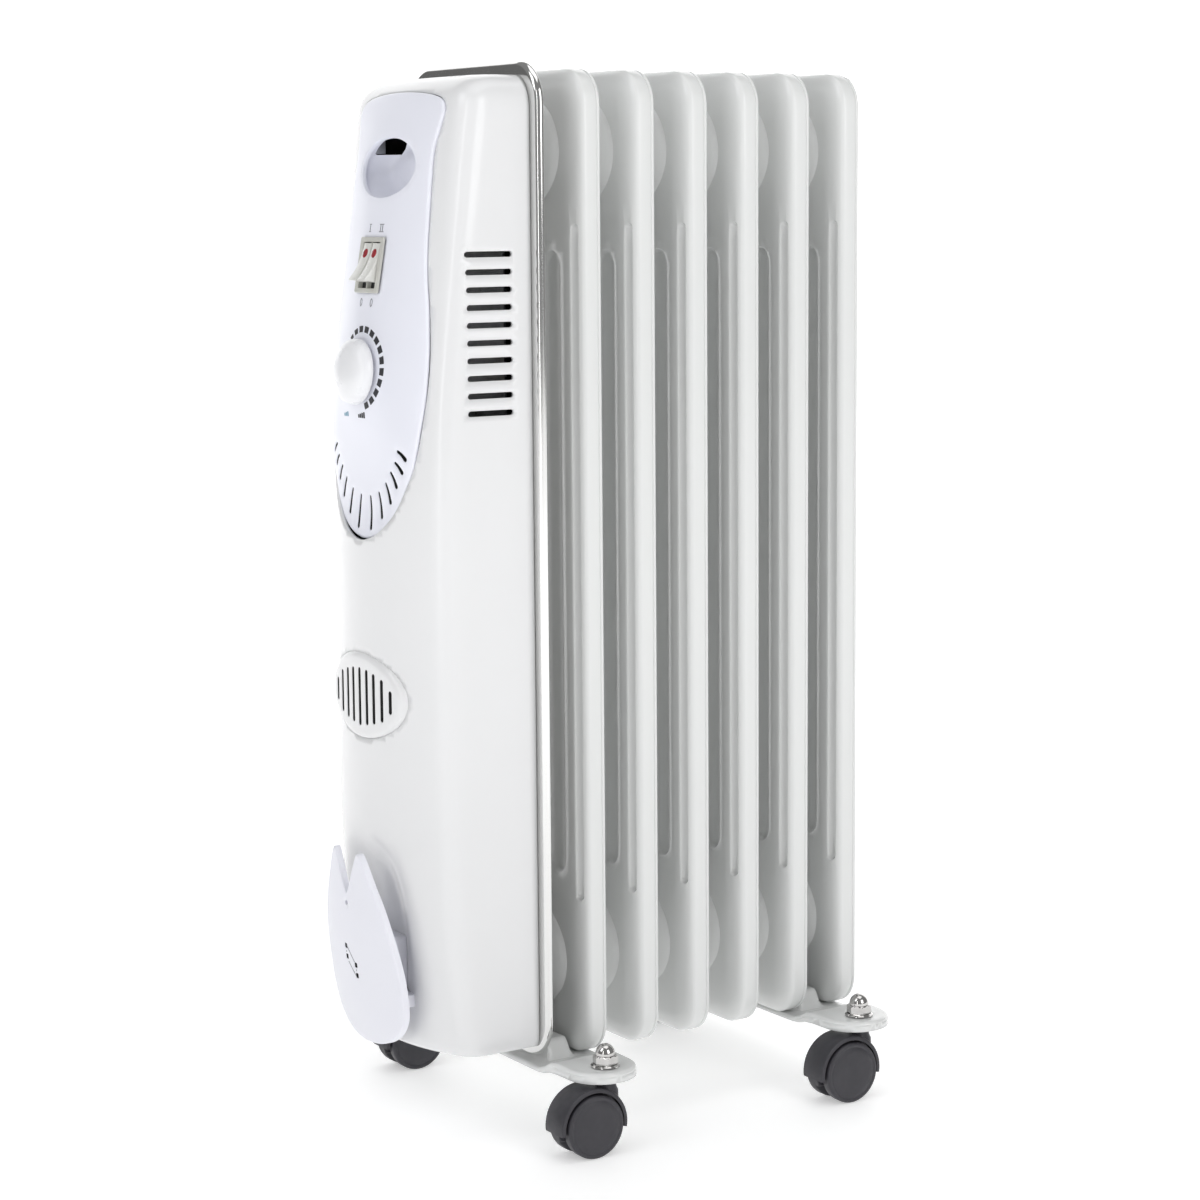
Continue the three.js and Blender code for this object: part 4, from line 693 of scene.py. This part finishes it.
# ---------------------------------------------------------------- fins
FW, FHT, FZ0, FR, DEP, FLG, BEND, REC = 140, 576, 44, 20, 14.4, 9.4, 11, 3
FCZ = FZ0 + FHT / 2
BZ = (98, 574)
def fring(i, y): return rr3(FW - 2 * i, FHT - 2 * i, FR - min(i, FR - 8), y, FCZ, 12, 18)
def stad(x0, x1, z0, z1): return ccw(capsule((x0 + x1) / 2, z0, z1, x1 - x0, 10))
G_OUT = [stad(a, b_, 138, 533) for a, b_ in ((59.5, 66.6), (-66.6, -59.5))]
G_IN = [stad(a, b_, 150, 518) for a, b_ in ((28, 49), (-49, -28))]
_FO = ccw(np.array([(p[0], p[2]) for p in fring(0, 0)]))
def fin_relief(q, boss, front):
    """height of the face over its plane, outwards"""
    h = np.zeros(len(q))
    for G, D, w in [(g, 4.2, 2.9) for g in G_OUT] + [(g, 3.8, 3.4) for g in G_IN]:
        l, u = G.min(0) - 1, G.max(0) + 1
        m = (q > l).all(1) & (q < u).all(1)
        if m.any():
            d = dist(q[m], G) * inside(q[m], G)
            h[m] = np.minimum(h[m], -D * sstep(d / w))
    for z in BZ:
        dx, dz = q[:, 0], q[:, 1] - z
        r = np.hypot(dx, dz); th = np.arctan2(dz, dx)
        Rb = 49 * 36 / np.sqrt((36 * np.cos(th)) ** 2 + (49 * np.sin(th)) ** 2)
        t = np.clip((r - 25.5) / (Rb - 25.5), 0, 1)
        hb_ = 10.8 * (1 - t) ** 0.62
        hb_ = np.where(r <= 25.55, 11.0, hb_) + np.where(r < 25.2, boss - 11.0, 0)
        h = np.maximum(h, np.where(t < 1, hb_, h))
    if front:
        d = dist(q, _FO)
        k = np.clip((BEND - d) / BEND, 0, 1)
        h = h - (DEP - FLG) * (1 - np.sqrt(np.maximum(0, 1 - k * k)))
    return h
_grooves = []
for g, w in [(g, 2.8) for g in G_OUT] + [(g, 3.4) for g in G_IN]:
    L = []
    for p, q_ in zip(g, np.roll(g, -1, 0)):
        k = max(1, int(np.hypot(*(q_ - p)) / 9)); L += [p + (q_ - p) * j / k for j in range(k)]
    L = np.array(L)
    _grooves += [L, offset(L, w * 0.33), offset(L, w * 0.66), offset(L, w)]
_bosses = []
for z in BZ:
    _bosses += [ellipse(25.1, 25.1, 0, z, 56), ellipse(25.55, 25.55, 0, z, 56)]
    for k in (0.12, 0.28, 0.46, 0.66, 0.86, 0.96, 1.0):
        _bosses.append(ellipse(25.5 + (49 - 25.5) * k, 25.5 + (36 - 25.5) * k, 0, z, 64))
def fin_face(inset, y, sign, boss):
    front = sign > 0
    oc = ccw(np.array([(p[0], p[2]) for p in fring(inset, y)]))
    bends = [ccw(np.array([(p[0], p[2]) for p in fring(i, 0)])) for i in (1.5, 2.3, 3.4, 4.8, 6.4, 8.2, 10.0, 12.0)] if front else []
    Q = grid(oc, [], 7.0, 2.0)
    for L in _grooves + _bosses + bends:
        l, u = L.min(0) - 3, L.max(0) + 3
        m = (Q > l).all(1) & (Q < u).all(1)
        if m.any():
            k = np.where(m)[0]; Q = np.delete(Q, k[dist(Q[k], L) < 1.6], 0)
    Q = Q[[not any(math.hypot(x, z - bz) < 24 for bz in BZ) for x, z in Q]]
    v, f = triangulate(oc, [], _grooves + _bosses + bends, Q)
    h = fin_relief(v, boss, front)
    if not front: h = np.where(dist(v, oc) < 0.01, 0, h)
    V = np.stack([v[:, 0], y - sign * h, v[:, 1]], 1)
    if sign < 0: f = f[:, ::-1]
    return V, f
_cache = {}
def fin_mesh(front_boss, rear_boss):
    key = (front_boss, rear_boss)
    if key in _cache: return _cache[key]
    b = B()
    V, F = fin_face(1.0, -DEP, 1, front_boss); b.add(V, F)
    yb = lambda i: -DEP + (DEP - FLG) * (1 - math.sqrt(max(0, 1 - ((BEND - i) / BEND) ** 2)))
    rings = [fring(i, yb(i)) for i in (1.0, 0.6, 0.3, 0.1)] + [fring(0, -FLG + 0.4)]
    rings += [fring(0, -6.0), fring(0, -3.0), fring(0.12, -2.6), fring(0.6, -2.3), fring(0.6, -1.95), fring(0.1, -1.7), fring(0.0, -1.3), fring(0.02, -0.7), fring(0.2, -0.25), fring(0.6, 0.0), fring(0.95, -0.02), fring(1.25, -0.3), fring(1.4, -0.8), fring(1.4, -2.0), fring(2.2, -2.8), fring(3.2, -REC)]
    v, f = ringloft(rings); b.add(v, f)
    V, F = fin_face(3.2, -REC, -1, rear_boss); b.add(V, F)
    _cache[key] = b
    return b
MG = (37 - DEP + REC) / 2
for k in range(6):
    fbz = MG - 0.15
    rbz = MG - 0.15 if k < 5 else 0.0
    src = fin_mesh(fbz, rbz if k < 5 else 11.0)
    b = B(); b.v = [(x, y + 37 * k, z) for x, y, z in src.v]; b.f = src.f; b.m = src.m
    if k == 5:   # the last fin's rear collectors are low closed domes
        b.v = [(x, (185 - REC + (y - 185 + REC) * 0.24) if (y > 185 - REC + 0.01 and abs(x) < 60) else y, z) for x, y, z in b.v]
    piece(f"fin_pressing_{k + 1}", b, ENAMEL, "radiator", [f"fin_{k + 1}"], angle=50)

# ---------------------------------------------------------------- foot plates
STEM_X, STEM_Y = 104.3, (-23.6, 161.4)
def foot_outline(cy, grow=0.0):
    h, r, xe = 23 + grow, 21.5 + grow, 98
    pts = [(xe + r * math.cos(rad(a)), cy + r * math.sin(rad(a))) for a in np.linspace(-90, 90, 25)]
    pts += [(xx, cy + r + (h - r) * float(sstep((98 - xx) / 38.0))) for xx in np.linspace(92, 60, 6)] + [(xx, cy + h) for xx in np.linspace(50, -50, 11)]
    pts += [(-xx, cy + r + (h - r) * float(sstep((98 - xx) / 38.0))) for xx in np.linspace(60, 92, 6)]
    pts += [(-xe + r * math.cos(rad(a)), cy + r * math.sin(rad(a))) for a in np.linspace(90, 270, 25)]
    pts += [(-xx, cy - r - (h - r) * float(sstep((98 - xx) / 38.0))) for xx in np.linspace(92, 60, 6)] + [(xx, cy - h) for xx in np.linspace(-50, 50, 11)]
    pts += [(xx, cy - r - (h - r) * float(sstep((98 - xx) / 38.0))) for xx in np.linspace(60, 92, 6)]
    return ccw(np.array(pts))
def foot_z(q, cy):
    x, y = np.abs(q[:, 0]), q[:, 1]
    base = np.full(len(q), 43.6)
    pad = 6.4 * sstep((x - 66) / 16)
    yc = cy - 1.9
    rid = 10.9 * sstep((60 - x) / 6.5) * sstep((9.6 - np.abs(y - yc)) / 2.6)
    return base + np.maximum(pad, rid)
for where, cy in (("front", STEM_Y[0]), ("rear", STEM_Y[1])):
    o = foot_outline(cy); r = 2.2
    rings = [offset(o, r * d) for d, _ in ROUND[1:]]
    hs = [ccw(ellipse(3.5, 3.5, sx * STEM_X, cy, 24)) for sx in (-1, 1)] + [ccw(ellipse(3.7, 3.7, sx * 37.5, cy - 1.9, 24)) for sx in (-1, 1)]
    Q = grid(o, hs, 2.2, r + 0.9)
    v, f = triangulate(o, hs, rings, Q)
    d = dist(v, o); t = np.clip(1 - d / r, 0, 1)
    z = foot_z(v, cy) - r * (1 - np.sqrt(np.maximum(0, 1 - t * t)))
    b = B().add(np.stack([v[:, 0], v[:, 1], z], 1), f)
    # skirt
    zt = foot_z(o, cy) - r
    zb = np.where(np.abs(o[:, 0]) > 80, 43.9, 41.6)
    zb = 41.6 + 2.3 * sstep((np.abs(o[:, 0]) - 72) / 10)
    n = len(o)
    V = [(p[0], p[1], zz) for p, zz in zip(o, zt)] + [(p[0], p[1], min(zz - 0.3, zc)) for p, zz, zc in zip(o, zt, zb)]
    F = [(i + n, (i + 1) % n + n, (i + 1) % n, i) for i in range(n)]
    b.add(V, F)
    piece(f"foot_{where}_pressing", b, ENAMEL, "radiator", [f"foot_plate_{where}"], angle=50, solid=1.5)

# ---------------------------------------------------------------- U-bolts, wing nuts, dome nuts
def tube(points, r, n=16):
    pts_ = [Vector(p) for p in points]; rings = []
    up = Vector((0, 1, 0))
    for i, p in enumerate(pts_):
        t = ((pts_[min(i + 1, len(pts_) - 1)] - pts_[max(i - 1, 0)])).normalized()
        s = up.cross(t).normalized(); u = t.cross(s)
        rings.append([tuple(p + s * r * math.cos(2 * math.pi * k / n) + u * r * math.sin(2 * math.pi * k / n)) for k in range(n)])
    return ringloft(rings, True, True)
for where, cy in (("front", STEM_Y[0]), ("rear", STEM_Y[1])):
    yc = cy - 1.9; R = 37.5
    pts_ = [(-R, yc, z) for z in np.linspace(41, 98, 8)] + [(-R * math.cos(rad(a)), yc, 98 + R * math.sin(rad(a))) for a in np.linspace(6, 174, 29)] + [(R, yc, z) for z in np.linspace(98, 41, 8)]
    v, f = tube(pts_, 2.95, 18)
    b = B().add(v, f)
    # rolled thread on the two legs
    for sx in (-1, 1):
        prof = [(2.6, 41.2)]
        z = 41.4
        while z < 60: prof += [(3.0, z + 0.3), (2.75, z + 0.65)]; z += 0.9
        prof = [(0, 41.2)] + prof + [(0, z)]
        v, f = lathe(prof, Matrix.Translation((sx * R, yc, 0)), 16); b.add(v, f)
    piece(f"u_bolt_{where}_bar", b, ZINC, "radiator", [f"u_bolt_{where}"], angle=60)
    for sx, side in ((-1, "left"), (1, "right")):
        Mx = Matrix.Translation((sx * R, yc, 0))
        v, f = lathe([(3.3, 44.3), (6.6, 44.3), (6.9, 44.8), (5.6, 50.6), (5.0, 51.5), (3.4, 51.5), (3.3, 44.3)], Mx, 28)
        b = B().add(v, f)
        for s2 in (-1, 1):
            rings = []
            for t, w, h0, h1 in ((4.6, 1.5, 45.0, 49.4), (7.5, 1.2, 45.2, 50.4), (10.5, 1.0, 46.0, 51.2), (12.6, 0.9, 47.2, 51.4), (13.8, 0.6, 48.6, 50.8)):
                rings.append([(sx * R + s2 * t, yc + w * c, (h0 + h1) / 2 + (h1 - h0) / 2 * s_) for c, s_ in [(math.cos(rad(a)) , math.sin(rad(a))) for a in range(0, 360, 30)]])
            v, f = ringloft(rings, True, True); b.add(v, f)
        piece(f"wing_nut_{where}_{side}_casting", b, ZINC, "radiator", [f"wing_nut_{where}_{side}"], angle=40)

def hex_ring(af, r_lim, z, M, n=48):
    """hexagon across flats af with its corners limited to radius r_lim"""
    out = []
    for i in range(n):
        a = 2 * math.pi * i / n
        k = af / 2 / math.cos(((a + math.pi / 6) % (math.pi / 3)) - math.pi / 6)
        out.append(tuple(M @ Vector((min(k, r_lim) * math.cos(a), min(k, r_lim) * math.sin(a), z))))
    return out
for i, cy in enumerate(STEM_Y):
    for sx in (-1, 1):
        tag = f"{'front' if i == 0 else 'rear'}_{'left' if sx < 0 else 'right'}"
        body = f"caster_{tag}"
        x, ya, za = sx * STEM_X, cy - 13.2, 18.6
        z0 = 50.3
        Mn = Matrix.Translation((x, cy, 0)) @ Matrix.Rotation(rad(12), 4, 'Z')
        b = B()
        v, f = lathe([(3.2, z0), (8.3, z0), (8.6, z0 + 0.3), (8.5, z0 + 0.8), (7.4, z0 + 1.5), (3.2, z0 + 1.5), (3.2, z0)], Mn, 48); b.add(v, f)
        rings = [hex_ring(13, 7.15, z0 + 1.2, Mn), hex_ring(13, 7.45, z0 + 1.8, Mn), hex_ring(13, 7.5, z0 + 2.4, Mn), hex_ring(13, 7.5, z0 + 5.6, Mn), hex_ring(13, 7.2, z0 + 6.2, Mn), hex_ring(13, 6.5, z0 + 6.7, Mn), hex_ring(12, 6.0, z0 + 6.8, Mn)]
        v, f = ringloft(rings, True, True); b.add(v, f)
        v, f = lathe([(0, z0 + 5.5), (5.7, z0 + 5.5), (5.8, z0 + 6.6)] + [(5.8 * math.cos(rad(a)), z0 + 7.2 + 6.2 * math.sin(rad(a))) for a in np.linspace(0, 84, 12)] + [(0, z0 + 13.4)], Mn, 48); b.add(v, f)
        piece(f"dome_nut_{tag}_chrome", b, CHROME, "radiator", [f"dome_nut_{tag}"], angle=32)
        # ---- hood
        HO, HI, HH = 22.4, 19.9, 9.6
        b = B()
        def ring_at(r0, r1, xx, a0=-9, a1=187, n=44):
            A = arc(0, 0, r1, a0, a1, n); C = arc(0, 0, r0, a1, a0, n)
            return [(x + xx, ya + p[0], za + p[1]) for p in A + C]
        sec = [(HI, HO - 0.9, -HH), (HI, HO - 0.25, -HH + 0.35), (HI, HO, -HH + 1.1), (HI, HO, HH - 1.1), (HI, HO - 0.25, HH - 0.35), (HI, HO - 0.9, HH)]
        rings = [ring_at(a, c, xx) for a, c, xx in sec]
        v, f = ringloft(rings, True, True); b.add(v, f)
        # web between the wheels, down past the axle
        webp = np.array(arc(0, 0, HI + 1.2, -20, 200, 40) + [(-8, -7.5), (8, -7.5)])
        rings = []
        for xx, ins in ((-3.3, 0.5), (-2.8, 0), (2.8, 0), (3.3, 0.5)):
            L = ccw(webp); L = offset(L, ins) if ins else L
            rings.append([(x + xx, ya + p[0], za + p[1]) for p in L])
        v, f = ringloft(rings, True, True); b.add(v, f)
        # neck around the stem, blended into the barrel
        v, f = lathe([(3.4, 30), (7.6, 30), (7.4, 36.2), (6.4, 38.4), (5.9, 40.4), (5.8, 43.6), (5.4, 44.1), (3.4, 44.1), (3.4, 30)], Matrix.Translation((x, cy, 0)), 40); b.add(v, f)
        piece(f"hood_{tag}_moulding", b, CHAR, body, [f"caster_hood_{tag}"], angle=40)
        for sw, wn in ((-1, 'l'), (1, 'r')):
            Mw = Matrix.Translation((x, ya, za)) @ Matrix.Rotation(sw * math.pi / 2, 4, 'Y')
            prof = [(2.8, 4.5), (14.2, 4.5), (17.4, 4.6), (18.3, 5.0), (18.6, 5.8), (18.6, 9.6)] + arc(17.2, 10.1, 1.4, 0, 88, 6)
            prof += [(16.4, 11.55), (16.1, 11.35), (15.7, 11.35), (15.4, 11.6), (12, 11.66), (6, 11.69), (0, 11.7)]
            prof = prof + [(0, 10.2), (2.8, 10.2), (2.8, 4.5)]
            v, f = lathe(prof, Mw, 72)
            piece(f"wheel_{tag}_{wn}_moulding", B().add(v, f), CHAR, f"wheel_{tag}_{wn}", [f"caster_wheel_{tag}_{wn}"], angle=40)

# ---------------------------------------------------------------- frame nodes that stay as they are
for n, m in (("heating_element", ZINC), ("element_flange", BRASS), ("heat_shield", ZINC), ("thermal_cutout", BLACKP), ("terminal_block", LGREY), ("thermostat_body", AMBER), ("thermostat_shaft", BRASS), ("element_socket", ENAMEL), ("collector_cap", ENAMEL)):
    NODES[n].data.materials.clear(); NODES[n].data.materials.append(m)
for n in NODES:
    if n.startswith("caster_stem") or n.startswith("caster_axle"):
        NODES[n].data.materials.clear(); NODES[n].data.materials.append(ZINC)

# ---------------------------------------------------------------- floor, light, camera
WORLD, KEY, FILL, TOPL, FLOOR_E0, FLOOR_E1, STRIP = 0.27, 25, 20, 16, 0.38, 0.95, 8
me = bpy.data.meshes.new("floor")
S = 6.0; R = 2.0
fv, ff = [], []
prof = [(-S, 0.0), (3.2, 0.0)] + [(3.2 + R * math.sin(rad(a)), R - R * math.cos(rad(a))) for a in range(10, 91, 10)] + [(3.2 + R, 6.0)]
for (yy, zz) in prof: fv += [(-S, yy, zz), (S, yy, zz)]
for i in range(len(prof) - 1): ff.append((2 * i, 2 * i + 1, 2 * i + 3, 2 * i + 2))
me.from_pydata(fv, [], ff); me.shade_smooth()
floor = bpy.data.objects.new("floor", me); bpy.context.scene.collection.objects.link(floor)
# the floor glows as painted light: Emission Strength rises from FLOOR_E0 near the heater to FLOOR_E1 2.2 m out, keeping
# the backdrop white
FLOOR = material("studio_floor", (0.86, 0.86, 0.86), (0.87, 0.87, 0.87), 0.6, bump=0.02, grain=60, cloud=1.2)
nt = FLOOR.node_tree
tcf = nt.nodes.new("ShaderNodeTexCoord"); ln = nt.nodes.new("ShaderNodeVectorMath"); ln.operation = 'LENGTH'
mrf = nt.nodes.new("ShaderNodeMapRange"); mrf.inputs["From Min"].default_value = 0.25; mrf.inputs["From Max"].default_value = 2.2
mrf.inputs["To Min"].default_value = FLOOR_E0; mrf.inputs["To Max"].default_value = FLOOR_E1
nt.links.new(tcf.outputs["Object"], ln.inputs[0]); nt.links.new(ln.outputs["Value"], mrf.inputs["Value"])
nt.links.new(mrf.outputs["Result"], nt.nodes["Principled BSDF"].inputs["Emission Strength"])
nt.nodes["Principled BSDF"].inputs["Emission Color"].default_value = (1, 1, 1, 1)
me.materials.append(FLOOR)
floor.rotation_euler = (0, 0, rad(57.0))

# even grey-white room with one dark flag low on the left, seen only in the polished parts
w = bpy.data.worlds.new("studio") if bpy.context.scene.world is None else bpy.context.scene.world
bpy.context.scene.world = w; w.use_nodes = True
wn, wl = w.node_tree.nodes, w.node_tree.links
bg_ = wn["Background"]; bg_.inputs["Strength"].default_value = WORLD
wt = wn.new("ShaderNodeTexCoord"); dp = wn.new("ShaderNodeVectorMath"); dp.operation = 'DOT_PRODUCT'; dp.inputs[1].default_value = (-0.842, -0.539, 0.03)
wl.new(wt.outputs["Generated"], dp.inputs[0])
mrw = wn.new("ShaderNodeMapRange"); mrw.inputs["From Min"].default_value = 0.86; mrw.inputs["From Max"].default_value = 0.97
mrw.inputs["To Min"].default_value = 1.0; mrw.inputs["To Max"].default_value = 0.6
wl.new(dp.outputs["Value"], mrw.inputs["Value"])
mxw = wn.new("ShaderNodeCombineColor"); 
for ch in ("Red", "Green", "Blue"): wl.new(mrw.outputs["Result"], mxw.inputs[ch])
wl.new(mxw.outputs["Color"], bg_.inputs["Color"])
def light(name, loc, target, size, energy, col=(1, 1, 1), sy=None):
    d = bpy.data.lights.new(name, 'AREA'); d.energy = energy; d.color = col; d.size = size
    if sy: d.shape = 'RECTANGLE'; d.size_y = sy
    o = bpy.data.objects.new(name, d); bpy.context.scene.collection.objects.link(o)
    o.location = loc
    o.rotation_euler = (Vector(target) - Vector(loc)).to_track_quat('-Z', 'Y').to_euler()
    return o
light("key", (2.9, 0.5, 1.5), (0, 0, 0.32), 1.4, KEY, (1, 1, 1), 2.0)
light("fill_front", (0.1, -2.5, 2.5), (0, 0, 0.45), 1.4, FILL, (0.97, 0.98, 1.0), 2.0)
light("top", (0.3, 0.2, 2.8), (0, 0, 0.3), 2.0, TOPL)
light("strip", (1.55, -2.35, 0.75), (0, 0, 0.45), 0.28, STRIP, (1, 1, 1), 2.4)

az, pitch, roll = rad(57.25712), rad(7.93873), rad(-0.46765)
D_, TX, TZ, FPX = 1.72133, 0.03571, 0.308, 2868.17629
back = Vector((math.sin(az) * math.cos(pitch), -math.cos(az) * math.cos(pitch), math.sin(pitch)))
right = Vector((math.cos(az), math.sin(az), 0)); upv = back.cross(right)
r2 = right * math.cos(roll) + upv * math.sin(roll); u2 = -right * math.sin(roll) + upv * math.cos(roll)
C = right * TX + Vector((0, 0, TZ)) + back * D_ + Vector((0, YS * 0.001, 0))
cam = bpy.data.cameras.new("camera"); cam.sensor_width = 36; cam.sensor_fit = 'HORIZONTAL'; cam.lens = 36 * FPX / 1200
cam.clip_start = 0.05; cam.clip_end = 50
co = bpy.data.objects.new("camera", cam); bpy.context.scene.collection.objects.link(co)
co.matrix_world = Matrix(((r2.x, u2.x, back.x, C.x), (r2.y, u2.y, back.y, C.y), (r2.z, u2.z, back.z, C.z), (0, 0, 0, 1)))
bpy.context.scene.camera = co
bpy.context.scene.view_settings.view_transform = 'Standard'
